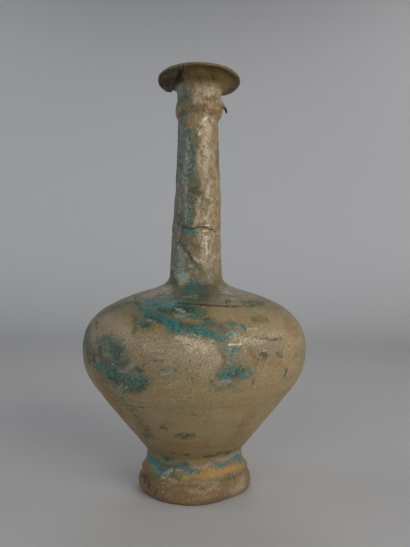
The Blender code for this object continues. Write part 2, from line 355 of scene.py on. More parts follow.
def along(stroke, step):
    """The stroke with more points, closer than step half widths. The half width is the last column."""
    many = []
    for a, b in zip(stroke, stroke[1:]):
        n = max(2, int(np.linalg.norm((b - a)[:-1]) / (min(a[-1], b[-1]) * step)) + 1)
        many.append(a + (b - a) * np.linspace(0, 1, n, endpoint=False)[:, None])
    return np.vstack(many + [stroke[-1:]])


FINE = ("dark", "crack", "scratch_and_glint", "pit")  # marks that keep their drawn shape
HALOED = ("teal", "turq")  # marks with a faint green stain round them


class Marks:
    """Strokes laid on the surface. Each kind of mark gets one field, from 0 to about 1, over all vertices."""

    def __init__(self, places, normals):
        self.places = places
        sway = [0.0010 * fbm(places, 0.0075, 2, seed) + 0.0005 * fbm(places, 0.0026, 2, seed + 7) for seed in (201, 221, 241)]
        self.swayed = places + np.stack(sway, axis=1)
        toward = np.array(CAMERA) - places
        self.facing = smooth(-0.12, 0.10, (toward * normals).sum(axis=1) / np.linalg.norm(toward, axis=1))
        self.seen_at = {False: seen_at(self.places), True: seen_at(self.swayed)}
        self.fields = {}

    def add(self, kind, strength, near, off):
        for kind, value in ((kind, strength * np.exp(-off)), ("halo", 0.8 * strength * np.exp(-off / 3.2))):
            if kind != "halo" or self.leaves_halo:
                field = self.fields.setdefault(kind, np.zeros(len(self.places)))
                field[near] = 1 - (1 - field[near]) * (1 - value)

    def line(self, kind, strength, spots, widths):
        """A stroke through spots in space, with a half width in metres at each."""
        stroke = along(np.column_stack([spots, widths]), 0.5)
        reach = stroke[:, 3].max() * 3.6
        low, high = stroke[:, :3].min(axis=0) - reach, stroke[:, :3].max(axis=0) + reach
        places = self.places if kind in FINE else self.swayed
        near = np.nonzero(((places > low) & (places < high)).all(axis=1))[0]
        best = np.full(len(near), 1e9)
        for x, y, z, w in stroke:
            best = np.minimum(best, ((places[near] - (x, y, z)) ** 2).sum(axis=1) / (w * w))
        self.leaves_halo = kind in HALOED
        self.add(kind, strength, near, best)

    def seen(self, kind, strength, pixels, place=None):
        """A stroke through (x, y, half width), all in pixels of the 410 x 547 frame, on the side that faces the camera's place."""
        pixels = along(np.array(pixels, float), 0.5)
        spots = np.array([(place or on_wall)(x, y) for x, y, _ in pixels])
        depth = np.linalg.norm(spots - np.array(CAMERA), axis=1)
        limit = np.maximum(0.020, 4.5 * pixels[:, 2] * depth / FOCAL)
        low, high = spots.min(axis=0) - limit.max(), spots.max(axis=0) + limit.max()
        near = np.nonzero(((self.places > low) & (self.places < high)).all(axis=1) & (self.facing > 0))[0]
        at, places = self.seen_at[kind not in FINE][near], self.places[near]
        best = np.full(len(near), 1e9)
        for (x, y, w), spot, far in zip(pixels, spots, limit):
            off = ((at - (x, y)) ** 2).sum(axis=1) / (w * w)
            best = np.minimum(best, np.where(((places - spot) ** 2).sum(axis=1) < far * far, off, 1e9))
        self.leaves_halo = kind in HALOED
        self.add(kind, strength * self.facing[near], near, best)

    def get(self, kind):
        return self.fields.get(kind, np.zeros(len(self.places)))


# ---------------------------------------------------------------- marks on the surface

def wall_at(azimuth, z):
    """A point of the outer wall at that azimuth in degrees, 0 at the near side and 90 at +X, and height."""
    a = FRONT + math.radians(azimuth)
    r = float(np.interp(z, OUTER_Z, OUTER_R))
    return np.array([r * math.cos(a) + float(shift_at(z)), r * math.sin(a), z])


def lay_marks(m):
    """Every mark that shows at the near side, and plainer ones of the same kinds round the back."""
    s = m.seen

    # Crust tones, broad and soft, with a painted sheen across the middle of the belly
    s("rose", 0.9, [(150, 346, 9), (172, 352, 11), (196, 352, 12), (214, 360, 10), (204, 372, 8)])
    s("rose", 0.7, [(106, 318, 7), (118, 324, 9), (128, 336, 8)])
    # Painted sheen: pale strokes for the soft highlight across the middle of the belly
    s("pale", 0.75, [(178, 338, 3), (190, 342, 4.5), (199, 343, 4.5), (206, 347, 4)])
    s("pale", 0.5, [(236, 338, 4), (250, 341, 4), (262, 340, 4)])
    # Painted sheen, lower on the middle of the belly
    s("pale", 0.5, [(190, 348, 5), (212, 350, 5)])
    s("khaki", 0.9, [(214, 312, 6), (236, 314, 9), (260, 318, 10), (280, 326, 9)])
    s("khaki", 0.9, [(262, 384, 14), (240, 398, 16), (200, 396, 12), (172, 394, 9)])
    s("khaki", 0.9, [(292, 345, 8), (288, 365, 9), (274, 384, 10), (252, 412, 10)])
    s("moss", 0.3, [(214, 291, 5), (228, 296, 5), (240, 297, 4)])
    s("cool", 0.85, [(88, 326, 3.5), (87, 342, 4.5), (91, 360, 5)])
    s("cool", 0.8, [(101, 340, 5), (103, 352, 7), (108, 363, 7), (126, 363, 4.5)])
    s("cool", 0.7, [(152, 298, 4), (176, 296, 5), (198, 298, 6)])
    s("cool", 0.75, [(204, 288, 5), (206, 296, 5)])
    s("cool", 0.6, [(206, 322, 5), (222, 328, 5), (232, 334, 5)])
    s("cool", 0.6, [(112, 308, 3), (128, 302, 3), (140, 304, 4)])
    s("ash", 0.55, [(112, 304.5, 1.5), (124, 301.5, 1.5), (133, 299, 1.5)])
    s("rose", 0.6, [(112, 307.5, 1.2), (124, 304.5, 1.4), (130, 303.5, 1.2)])
    s("rose", 0.6, [(144, 296, 2.5), (152, 296, 3), (156, 300, 1.5)])

    # Shoulder, left of the neck: a belt of bare dark glaze with brighter streaks
    s("teal", 1.0, [(150, 303, 3.4), (160, 307, 5.2), (174, 307, 6.2), (186, 309, 7.0), (196, 313, 6.4)])
    s("pine", 0.75, [(158, 308.6, 2.4), (166, 310.6, 3.0), (174, 312.6, 3.0)])
    s("teal", 0.95, [(147, 315, 3.6), (158, 318, 4.2), (168, 322.5, 4.4), (178, 328, 5.2), (190, 328.5, 4.6),
                     (200, 331, 5.0), (212, 334.5, 4.0), (222, 339, 3.6)])
    s("teal", 0.9, [(138, 321, 2.5), (143, 324, 4.2), (149, 325, 4.2), (153, 321, 3.0)])
    s("teal", 0.6, [(138.5, 306, 2.4), (145, 309, 3.2)])
    s("teal", 0.9, [(184, 290, 2.8), (190, 287, 4.8), (195, 284, 4.6), (198, 291, 3.4)])
    s("teal", 0.3, [(200, 289, 3.6), (205, 292, 2.8)])
    s("pine", 0.95, [(178, 307.4, 2.0), (186, 308.8, 3.8), (192, 309.8, 3.0)])
    s("pine", 0.9, [(181, 324.6, 2.2), (190, 325.6, 2.4), (198, 326.4, 1.8)])
    s("pine", 0.8, [(143, 326, 2.2), (150, 325.6, 2.2)])
    s("pine", 0.8, [(157, 320.6, 1.5), (163, 323, 1.5)])
    s("turq", 1.0, [(146, 301.6, 1.5), (151, 302, 2.0), (156, 303, 2.4), (160.5, 304.0, 2.2)])
    s("turq", 0.95, [(162.5, 305, 2.2), (167, 305.4, 2.2), (171, 307.6, 2.2)])
    s("turq", 0.95, [(164, 303, 1.6), (171, 303, 1.9), (177, 303, 1.9), (183, 303.2, 1.7)])
    s("teal", 0.9, [(147, 303, 2.6), (158, 304, 3.2), (168, 305, 3.2), (180, 305, 2.8), (190, 305.6, 2.2)])
    s("pine", 0.5, [(146, 303.6, 2.2), (158, 305.0, 2.4), (170, 305.4, 2.4), (182, 304.6, 2.0)])
    s("turq", 0.8, [(139.5, 305.2, 1.0), (145, 305.8, 1.0)])
    s("turq", 0.7, [(141, 308.4, 1.4), (147, 309.6, 1.8)])
    s("turq", 1.0, [(144, 312.2, 1.6), (150, 312.8, 2.5), (157, 314.8, 2.4), (163, 318.4, 2.4), (169, 321.4, 2.2), (176, 323, 1.5)])
    s("turq", 1.0, [(169, 325, 2.4), (174, 327.3, 3.3), (179, 330.8, 2.5)])
    s("turq", 1.0, [(197, 328, 1.8), (203, 331, 3.0), (211, 334, 2.5)])
    s("turq", 0.62, [(216, 335.6, 1.6), (224, 339.8, 1.8)])
    s("pale", 0.5, [(214, 341, 2.2), (209, 340, 2.0)])
    s("turq", 0.95, [(185, 290.4, 2.6), (191, 286, 3.3), (194, 291, 2.4)])
    s("turq", 0.8, [(190.5, 311, 1.3), (190, 316, 1.3)])
    s("turq", 0.5, [(182, 327, 1.4), (192, 330.4, 1.8)])
    s("mint", 0.8, [(175, 309.6, 0.9), (184, 311.2, 1.1)])
    s("ash", 0.9, [(176, 315, 2.6), (184, 317, 2.6)])
    s("ash", 0.95, [(148.5, 320.6, 1.3), (152.5, 320.4, 1.1)])
    s("ash", 0.9, [(185, 313.4, 1.1), (191, 314.2, 1.1)])
    s("mint", 0.55, [(183, 296.8, 1.8), (196, 296.8, 1.8)])
    s("rust_and_shade", 0.7, [(171.5, 313, 1.4), (175, 316, 1.4)])
    s("ochre", 0.8, [(184, 321.2, 1.8), (198, 322.2, 2.2)])
    s("ochre", 0.75, [(149, 331, 3.0), (158, 326, 3.0), (164, 330, 3.0)])
    s("moss", 0.7, [(134, 316, 3.0), (136, 325, 3.6), (133, 333, 3.0)])
    s("mint", 0.6, [(182, 333.2, 1.3), (192, 334.6, 1.3), (200, 337, 1.4)])
    s("dark", 0.9, [(135, 297, 0.9), (135.8, 302, 1.1), (138.4, 305.4, 1.1), (141, 310, 0.9)])
    s("dark", 0.7, [(151, 303.2, 0.8), (157, 305.6, 0.8)])
    s("pine", 0.8, [(144, 315.4, 1.0), (157, 318.6, 1.1), (163, 322, 1.0)])
    s("soot_and_shade", 0.7, [(96.2, 319, 1.2), (96.8, 324, 1.2), (96.0, 329, 1.0)])
    s("teal", 0.55, [(98, 317, 1.8), (106, 312, 1.8), (112, 309, 1.5)])

    # Shoulder, right of the neck
    s("dark", 1.0, [(178, 303.4, 0.8), (190, 303.8, 1.1), (200, 304.6, 1.25), (213, 305.6, 1.25), (226.5, 306.4, 1.1), (238, 306.6, 0.8)])
    s("rust_and_shade", 0.85, [(232, 306.8, 0.9), (238, 306.8, 1.0), (245, 306, 0.9)])
    s("pine", 0.8, [(244, 306, 1.1), (254, 305.4, 1.2), (262, 304.6, 1.0)])
    s("pine", 0.7, [(242, 301.5, 1.6), (252, 301.8, 2.2), (262, 302.5, 2.0)])
    s("pine", 0.95, [(226, 301.2, 1.6), (230, 301.6, 1.6)])
    s("moss", 0.75, [(212, 296, 2.4), (219, 295, 2.8)])
    s("moss", 0.6, [(200, 312, 4.0), (206, 318, 3.6)])
    s("soot_and_shade", 0.6, [(203, 319, 1.5), (208, 319.6, 1.8)])
    s("teal", 0.7, [(203, 323, 2.2), (210, 322, 2.4)])
    s("moss", 0.55, [(252, 319, 3.4), (268, 321, 3.4)])
    s("pale", 0.8, [(202.4, 306.8, 0.8)])
    s("teal", 0.9, [(227, 322.6, 1.4), (235, 324.6, 1.6)])
    s("turq", 0.75, [(233, 325, 1.2), (240, 327.2, 1.7), (247, 328.4, 1.3)])
    s("mint", 0.7, [(234, 326.4, 0.9), (242, 328.6, 1.1)])
    s("pale", 0.9, [(249, 328.6, 1.0), (258, 328.8, 1.0)])
    s("mint", 0.6, [(228, 333, 2.6), (237, 335, 3.2), (231, 338, 2.6)])
    s("rose", 0.8, [(256, 332, 2.6), (270, 334, 3.2), (280, 333, 2.6)])
    s("ochre", 0.9, [(288, 327.5, 2.0), (292, 330, 2.2)])
    s("ochre", 0.6, [(286, 320, 4.0), (296, 336, 4.0)])
    s("soot_and_shade", 0.7, [(265.5, 334, 1.1)])
    s("soot_and_shade", 0.7, [(256, 338, 1.0), (271, 339, 1.0), (281, 339, 1.1)])

    # Belly, left
    s("pine", 0.75, [(104, 338, 2.6), (110, 339.5, 2.6)])
    s("teal", 0.8, [(106, 341, 2.6), (113, 342, 2.6)])
    s("teal", 0.95, [(107, 342, 2.8), (114, 345, 4.8), (119, 350, 5.8), (117, 356, 5.4), (110, 354, 3.8)])
    s("pine", 0.85, [(107, 342, 2.4), (114, 346, 3.0), (119, 350, 3.0)])
    s("pine", 0.95, [(113, 352, 2.6), (117, 356.5, 2.8), (121, 351, 2.4)])
    s("teal", 0.4, [(104, 349, 2.8), (108, 356, 2.8), (103, 343, 2.4)])
    s("pine", 0.6, [(105, 342, 2.6), (112, 345, 3.0), (118, 347.5, 3.0)])
    s("pale", 0.8, [(104, 352, 0.9), (105.5, 355.5, 1.1), (109, 354, 0.8)])
    s("pale", 0.8, [(113.6, 353.6, 0.8), (114.6, 357.4, 0.9), (118.5, 354.2, 0.7)])
    s("soot_and_shade", 0.5, [(93, 361, 2.0), (100, 348, 2.6)])
    s("teal", 0.95, [(97, 365.5, 2.8), (104, 369.0, 4.6), (112, 374, 6.6), (121, 379, 8.0), (131, 382.5, 8.0),
                     (140, 382.5, 6.0), (145, 380.6, 2.8)])
    s("moss", 0.6, [(120, 387, 4.0), (130, 391, 3.6), (140, 391, 3.4)])
    s("pine", 0.85, [(110, 376, 2.6), (116, 380, 3.0), (114, 370.5, 2.0)])
    s("pine", 0.8, [(127, 369.6, 1.8), (137, 368, 2.0), (141, 372, 2.6)])
    s("turq", 0.42, [(132, 386, 2.6), (138, 383, 2.6), (144, 380, 2.4)])
    s("turq", 0.5, [(97, 366, 2.0), (103, 367.6, 2.2)])
    s("turq", 0.45, [(112, 374, 3.0), (119, 376, 2.6)])
    s("pine", 0.7, [(144, 389, 2.0), (132, 390, 2.0), (149, 384, 2.0)])
    s("ash", 0.85, [(118, 371.4, 1.3), (125, 370.6, 1.8), (131, 367.5, 2.6), (134, 364, 1.8)])
    s("mint", 0.5, [(122, 384, 2.2), (118, 390, 2.2), (127, 387, 2.0)])
    s("rust_and_shade", 0.9, [(128.5, 378.6, 1.4), (133, 377, 1.3), (131, 381.5, 1.1)])
    s("ash", 0.75, [(161, 374.5, 2.4), (166, 373.5, 2.8), (171, 371, 2.2)])
    s("teal", 0.75, [(159, 369.6, 1.1), (167, 370.2, 1.0), (175, 370.6, 1.0)])
    s("teal", 0.4, [(160, 376, 2.4), (168, 375, 2.4)])
    s("soot_and_shade", 0.5, [(160, 360, 1.2), (163, 359, 1.0), (146, 363, 1.4), (142, 366, 1.2)])
    s("soot_and_shade", 0.5, [(111, 330, 1.1), (113, 336, 1.1)])
    s("soot_and_shade", 0.5, [(124, 320, 1.1)])
    s("soot_and_shade", 0.45, [(160, 338, 1.3)])
    s("soot_and_shade", 0.45, [(170, 340, 1.2)])
    s("ochre", 0.8, [(94, 370, 1.8), (100, 381, 3.4), (106, 392, 4.2), (113, 403, 5.0), (122, 416, 5.0)])
    s("moss", 0.34, [(99, 372, 2.4), (105, 382, 3.4), (110, 389, 3.4)])
    s("moss", 0.34, [(118, 398, 6.0), (128, 407, 8.0), (138, 419, 8.0), (146, 436, 5.0)])

    # Belly, right
    s("scratch_and_glint", 0.72, [(228.5, 344.2, 0.9), (235, 345.3, 1.2), (241, 344.0, 0.9)])
    s("ash", 0.6, [(229, 347.8, 1.8), (231, 351.4, 2.2), (229, 354, 1.6)])
    s("teal", 0.5, [(227, 350, 3.0), (231, 353, 3.2)])
    s("teal", 0.75, [(233, 350.4, 2.0), (239, 349, 2.0)])
    s("teal", 0.5, [(231, 355.4, 2.4), (228, 358, 1.8)])
    s("moss", 0.6, [(221, 351, 2.8), (225, 357, 3.2), (223, 366, 3.0)])
    s("rose", 0.7, [(234, 361, 3.0), (231.5, 367, 3.0)])
    s("teal", 0.30, [(233.5, 362.5, 1.6), (231.5, 367.5, 2.2)])
    s("teal", 0.80, [(220, 376, 2.4), (226, 375, 5.0), (234, 372, 6.4), (241, 371, 5.0), (247, 373, 4.0)])
    s("pine", 0.75, [(229, 374.4, 2.2), (236, 374, 2.4), (239, 368.6, 1.6)])
    s("turq", 0.42, [(220, 376, 2.2), (225.5, 377, 2.9), (231, 376, 2.4)])
    s("turq", 0.4, [(224, 371.6, 2.2), (234, 370.6, 2.2)])
    s("turq", 0.6, [(240, 376.4, 1.4), (246, 374.6, 1.6)])
    s("mint", 0.55, [(238.6, 370, 0.7), (242.4, 373.4, 0.8), (248, 375.2, 0.7)])
    s("pine", 0.6, [(241, 371, 2.4), (244, 370, 2.0)])
    s("ash", 0.8, [(218, 383.4, 2.0), (225.6, 381.6, 2.6), (231, 380.2, 1.6)])
    s("teal", 0.32, [(211.5, 384, 2.6), (216, 388.5, 2.4), (222, 387, 2.2), (229, 384.6, 1.6)])
    s("teal", 0.28, [(233, 390, 2.2), (238, 392, 1.6)])
    s("soot_and_shade", 0.45, [(210, 381, 1.4), (215, 379, 1.4)])
    s("soot_and_shade", 0.4, [(253, 380, 1.6), (251, 384, 1.6)])
    s("ochre", 0.95, [(249.5, 354, 2.4), (255, 353.6, 2.2)])
    s("ochre", 0.85, [(254, 359.5, 2.6), (254.5, 365.5, 2.8)])
    s("brown", 0.6, [(250, 351, 3.4), (256, 357, 4.4), (262, 360, 3.6)])
    s("soot_and_shade", 0.55, [(258.5, 356, 2.6), (263, 354, 3.0), (266, 356.6, 2.6)])
    s("soot_and_shade", 0.5, [(265, 360.5, 2.0)])
    s("soot_and_shade", 0.55, [(257, 349.8, 1.3), (263.5, 349.8, 1.3)])
    s("soot_and_shade", 0.85, [(247.4, 355, 1.0)])
    s("moss", 0.8, [(278, 353, 2.0), (281, 356.4, 2.2)])
    s("pine", 0.7, [(282, 352, 1.0)])
    s("pine", 0.7, [(273, 345.5, 1.1)])
    s("soot_and_shade", 0.45, [(296.5, 353, 1.6), (293, 360, 1.5)])
    s("pine", 0.75, [(286.6, 368.6, 1.0), (285.4, 372.6, 1.4), (284.2, 377, 1.1)])
    s("ochre", 0.55, [(270, 364, 3.0), (284, 365, 3.0)])

    # Lower body
    s("moss", 0.6, [(161, 428, 2.2), (164.4, 426, 2.2), (166, 430, 2.2)])
    s("moss", 0.6, [(146.6, 427.6, 2.0), (147, 433, 2.4), (145.4, 438, 2.0)])
    s("pine", 0.35, [(178, 434, 1.9), (184, 435.6, 2.2), (191, 434, 1.9)])
    s("moss", 0.6, [(176, 435, 3.2), (184, 436, 3.4), (192, 435, 3.0)])
    s("soot_and_shade", 0.6, [(151.4, 434, 1.3), (153, 439.6, 1.2)])
    s("soot_and_shade", 0.45, [(193, 414.8, 1.0), (202, 415.2, 1.0)])
    s("soot_and_shade", 0.45, [(137, 406, 1.1), (143, 407, 1.1)])
    s("moss", 0.45, [(212, 432.6, 1.6), (216, 435, 1.4)])
    s("rose", 0.7, [(240, 420, 4.0), (250, 417, 4.0)])
    s("rust_and_shade", 0.35, [(242, 434, 2.4)])
    s("ochre", 0.55, [(252, 412, 5.0), (240, 428, 6.0), (232, 444, 5.0)])
    s("ochre", 0.55, [(168, 443, 3.4), (188, 446, 4.0), (206, 444, 4.0)])
    s("rust_and_shade", 0.6, [(171, 452.8, 1.5), (175, 454, 1.6)])
    s("soot_and_shade", 0.7, [(184.4, 454.2, 1.4), (187.4, 454.2, 1.3)])
    s("soot_and_shade", 0.6, [(204.6, 456.6, 1.1), (208, 456.6, 1.1)])
    s("soot_and_shade", 0.55, [(209, 455.8, 1.4), (221, 454.4, 1.6), (231, 451, 1.4), (239, 448.6, 1.2)])
    s("ochre", 0.6, [(196, 462, 2.4), (206, 461, 2.4)])

    # Foot, above its ridge
    s("ash", 0.8, [(213, 459, 2.0), (222, 459.6, 2.6), (231, 456, 2.6), (238, 452.8, 1.8)])
    s("cool", 0.7, [(150, 458, 3.0), (160, 464, 4.0), (176, 468, 4.0)])
    s("turq", 0.6, [(147.8, 453.6, 1.3), (148.8, 459, 1.9), (152, 463.6, 2.0)])
    s("teal", 0.8, [(150, 457, 2.2), (154, 462.6, 2.4)])
    s("teal", 0.9, [(216, 465, 1.2), (222, 466, 1.3), (230, 461.2, 1.3), (239, 457.4, 1.8)])
    s("turq", 0.55, [(218.6, 464.2, 1.0), (224, 465, 1.0)])
    s("turq", 0.6, [(236, 457.4, 1.6), (240, 458.4, 1.6)])
    s("teal", 1.0, [(162, 456.6, 1.5), (166, 459.6, 2.4), (171, 461, 1.7)])
    s("pine", 0.85, [(165, 459, 1.4), (168.6, 460.6, 1.2)])
    s("teal", 0.8, [(178, 463.6, 1.7), (183, 464.8, 2.3), (187, 466, 1.9)])
    s("dark", 0.75, [(185.6, 465.8, 1.1), (187, 466.4, 0.9)])
    s("teal", 0.95, [(177, 467, 1.3), (184, 469, 1.7), (190.6, 471.8, 1.5), (199, 472, 1.2)])
    s("dark", 0.6, [(180, 468.6, 0.7), (190, 472.2, 0.8), (199, 471.8, 0.7)])
    s("turq", 1.0, [(153.6, 462, 2.2), (155.6, 466, 2.6), (158, 469.6, 2.6), (158.6, 472, 1.8)])
    s("pine", 0.6, [(151, 458, 1.6), (155, 464, 1.8)])
    s("cobalt", 1.0, [(158.6, 468, 2.0), (163, 469, 2.5), (167, 470.4, 1.3)])
    s("mint", 0.6, [(164.6, 472, 1.6), (172, 470.8, 2.0), (167.6, 474.4, 2.0)])
    s("teal", 0.5, [(163, 474, 2.2), (170, 474.6, 2.2)])
    s("ash", 0.75, [(177, 470.4, 1.7), (183, 471.4, 1.4)])
    s("ash", 0.85, [(191, 467.4, 1.6), (196, 467, 1.3)])
    s("rose", 0.9, [(199, 467.6, 1.4), (206, 467.6, 1.5), (210, 463, 1.8)])
    s("moss", 0.9, [(166, 475, 2.6), (172, 476, 2.8), (180, 478, 2.6)])
    s("soot_and_shade", 0.55, [(173.6, 477, 1.0), (177.6, 479, 1.0)])
    s("mint", 0.6, [(161, 476.6, 1.6), (168, 479, 1.8), (178, 481.6, 1.3)])
    s("gold", 0.9, [(182, 478.4, 1.8), (187, 477.6, 2.1), (192, 475.6, 2.1)])
    s("amber", 0.9, [(196, 476, 2.5), (206, 474, 4.0), (216, 472.4, 4.2), (226, 470, 4.0)])
    s("amber", 0.75, [(230, 469, 3.6), (236, 467.4, 3.6), (243, 465, 3.0)])
    s("rust_and_shade", 0.5, [(190, 478.6, 1.4), (198, 478.6, 1.4)])
    s("pine", 0.45, [(153, 464, 1.4), (157, 467, 1.4)])
    s("moss", 0.8, [(152, 473, 3.0), (160, 476, 2.6), (150, 480, 3.0)])
    s("brown", 0.9, [(145, 466, 3.0), (146, 474, 4.2), (148, 482, 5.0), (152, 490, 5.4)])
    s("umber", 0.45, [(146, 476, 3.6), (150, 487, 3.6)])
    s("brown", 0.6, [(156, 486, 5.0), (170, 490, 4.0), (186, 492, 3.4)])
    s("rust_and_shade", 0.4, [(144, 470, 2.4), (146, 478, 2.4)])
    s("rose", 0.5, [(162, 482.2, 1.2), (185, 484.0, 1.5), (205, 483.2, 1.7), (219, 481.4, 1.5)])
    s("soot_and_shade", 0.8, [(232.6, 475, 1.2), (234.4, 479.6, 1.5)])
    s("ash", 0.9, [(232.6, 477.6, 1.1), (235.6, 475.6, 0.9)])
    s("moss", 0.7, [(225, 477, 1.6), (230, 474, 1.6), (229, 481, 1.8)])

    # Foot, below its ridge
    s("rust_and_shade", 0.3, [(231, 488, 3.6), (238, 482, 3.8), (242, 476, 3.0)])
    s("rose", 0.6, [(236, 492, 4.4), (241, 486, 4.8), (243, 478, 3.6)])
    s("rust_and_shade", 0.55, [(224, 494, 2.6), (216, 491, 2.0)])
    s("rust_and_shade", 0.45, [(170, 485, 2.0), (186, 487, 2.6), (198, 486, 2.0)])
    s("soot_and_shade", 0.75, [(155.6, 493.4, 1.6), (157.6, 489.6, 1.4)])
    s("soot_and_shade", 0.6, [(183, 490.6, 1.3)])
    s("soot_and_shade", 0.65, [(201.4, 487.6, 1.3), (205, 490.6, 1.1)])
    s("ochre", 0.6, [(168, 499, 2.0), (190, 501, 2.4), (212, 497, 3.0)])
    s("rose", 0.5, [(172, 490, 2.6), (204, 492, 3.0), (216, 487, 2.6)])

    # Neck: bare and grey-green on the left, cream crust on the right
    s("cool", 1.0, [(174, 283, 4.5), (177.5, 240, 5.6), (179, 200, 5.6), (180.5, 160, 5.4), (182.5, 125, 5.0), (183, 104, 5.0),
                    (183, 90, 4.8)])
    s("cool", 0.85, [(184, 276, 4.0), (185, 240, 3.6), (188, 206, 4.4), (189.5, 160, 4.6), (188, 125, 3.6)])
    s("cool", 0.42, [(190, 240, 4.2), (192, 215, 4.0), (192.4, 180, 4.0), (193, 142, 4.4), (191, 112, 4.4), (191, 92, 4.4)])
    s("cool", 0.25, [(196, 140, 3.4), (195, 132, 3.0)])
    s("cool", 0.25, [(196, 196, 3.0), (196, 186, 3.0)])
    s("teal", 0.55, [(179, 148, 2.6), (181, 166, 3.0), (180, 178, 2.6)])
    s("teal", 0.85, [(188, 136, 2.4), (189, 148, 3.8), (189, 158, 4.4), (188, 168, 4.4), (187, 177, 3.4)])
    s("turq", 0.35, [(186, 150, 2.4), (189.6, 157, 2.6), (190, 168, 2.4)])
    s("ash", 0.5, [(188, 143, 1.8), (191, 152, 1.6), (187, 158, 1.6), (190, 166, 1.8)])
    s("ash", 0.50, [(185.6, 140, 2.2), (186, 160, 2.6), (186, 172, 3.4), (186, 180, 3.4), (186, 190, 1.8), (186, 208, 2.8), (185.6, 218, 1.8)])
    s("mint", 0.85, [(187.4, 137, 0.9), (188.6, 144, 1.0)])
    s("mint", 0.5, [(187, 152, 1.6), (186.6, 164, 1.6)])
    s("pine", 0.7, [(192.4, 144, 1.0), (193.6, 156, 1.0), (192.8, 170, 1.1), (194, 179, 1.2)])
    s("pine", 0.7, [(181, 163, 1.6), (182, 168, 1.6)])
    s("moss", 0.6, [(195, 136, 2.2), (196, 142, 2.6), (199, 148, 2.0)])
    s("moss", 0.85, [(193, 182, 2.2), (197, 186.6, 3.0), (193, 188, 2.0)])
    s("moss", 0.6, [(190, 184, 3.4), (196, 187, 4.0), (199, 180, 2.6)])
    s("brown", 0.9, [(190, 189, 3.4), (196, 192, 4.4), (203, 193, 3.2)])
    s("umber", 0.56, [(191, 190.4, 2.4), (197, 192.4, 3.2), (202, 193.2, 2.4)])
    s("soot_and_shade", 0.55, [(192, 188.6, 1.8), (197, 189.6, 2.0), (200, 191.6, 1.6)])
    s("soot_and_shade", 0.6, [(191, 188.6, 1.2), (194, 186.6, 1.2), (198, 187.8, 1.1)])
    s("pine", 0.8, [(189, 191, 1.2), (186, 197, 1.2)])
    s("ash", 0.6, [(186.6, 187, 1.6), (187.6, 182, 1.3)])
    s("teal", 0.8, [(186.4, 201, 2.6), (189, 208.6, 3.4), (188, 217, 3.4), (188, 224, 2.6)])
    s("ash", 0.5, [(190, 205, 1.5), (191, 211, 1.5)])
    s("pine", 0.75, [(195, 199.6, 1.0), (192.6, 204, 1.0)])
    s("moss", 0.7, [(193, 219, 1.5), (194, 223, 1.3)])
    s("umber", 0.5, [(179, 208, 2.0), (181, 218, 2.2), (179, 224, 2.0)])
    s("ochre", 0.75, [(213.6, 204, 1.6), (215.6, 212, 2.0)])
    s("umber", 0.5, [(216.6, 213, 1.5), (218, 215, 1.3)])
    s("ochre", 1.0, [(213, 220, 2.0), (216.4, 223, 2.6), (214, 228, 1.4)])
    s("ochre", 0.5, [(214, 184, 2.0), (215, 196, 2.2)])
    s("rose", 0.7, [(205, 181, 2.4), (212, 190, 2.0), (203, 222, 3.0)])
    s("ash", 0.6, [(202, 206, 2.4), (206, 203, 2.0)])
    s("pale", 0.36, [(198, 200, 2.4), (198.6, 206, 2.8)])
    s("ochre", 0.4, [(197.6, 218, 2.2), (199, 223, 2.0)])
    s("pale", 0.40, [(198.6, 234, 2.4), (199.6, 240, 2.4)])
    s("pale", 0.34, [(204, 236, 3.0), (204, 250, 3.6), (205, 264, 3.4)])
    s("pale", 0.40, [(197.6, 158, 2.6), (198.6, 166, 2.4)])
    # Painted highlights: glints on the lit side of the neck, beside the crack
    s("scratch_and_glint", 0.72, [(206, 224.8, 1.24), (209.4, 225.4, 0.62)])
    s("crack", 1.0, [(180, 226.2, 0.9), (186, 227.7, 1.3), (193, 228.5, 1.4), (199, 227.4, 1.3), (205, 227.0, 1.35), (209, 228.0, 1.35),
                     (213, 230.6, 1.25), (216, 232.4, 0.9)])
    s("teal", 0.95, [(184, 231, 1.8), (190, 232, 2.4), (196, 233, 2.0)])
    s("turq", 0.7, [(188, 231, 1.3), (193, 233, 1.5)])
    s("pine", 0.8, [(181.6, 228, 1.3), (183.6, 233.6, 1.2)])
    s("pine", 0.6, [(193, 235.4, 0.9), (197, 236.2, 0.9)])
    # Painted highlights: more glints by the crack, and a bright streak down the lit side of the neck
    s("scratch_and_glint", 0.63, [(203, 230.4, 1.36), (208, 231.4, 0.93)])
    s("scratch_and_glint", 0.5, [(206, 236, 1.49), (206.6, 246, 1.24), (207, 256, 0.99)])
    s("brown", 0.9, [(186, 237, 2.6), (191, 244, 3.4), (195, 252, 3.0)])
    s("moss", 0.6, [(188, 241, 2.2), (192, 248, 2.2)])
    s("ochre", 0.5, [(193, 240, 2.0), (198, 249, 2.2)])
    s("moss", 0.7, [(191, 242, 2.2), (194, 249, 1.7)])
    s("crust_edge", 0.8, [(179.6, 240, 0.9), (183, 247, 1.1), (188.6, 253.8, 1.3), (192, 260, 1.4), (197, 266, 1.2), (201, 270, 0.8)])
    s("moss", 0.8, [(186, 254, 2.4), (190, 261, 2.8), (196, 267, 2.6), (202, 272, 2.0)])
    s("brown", 0.7, [(196, 240, 3.0), (199, 248, 3.4), (204, 256, 3.0)])
    s("brown", 0.5, [(186, 232, 2.4), (184, 240, 2.6), (178, 236, 2.4)])
    s("pine", 0.6, [(184, 270, 1.0), (192, 268, 1.4), (197, 272, 1.4)])
    s("ash", 0.75, [(182.6, 249.6, 1.4), (186.4, 257, 1.9)])
    s("rose", 0.55, [(182, 263, 2.6), (187, 265, 2.0)])
    s("moss", 0.6, [(177.4, 247, 2.4), (179, 256, 2.2)])
    s("moss", 0.7, [(200, 263, 1.6), (202, 270, 2.0), (199, 275, 1.6)])
    s("teal", 1.0, [(174.6, 266.6, 1.1), (175.4, 271.6, 1.5)])
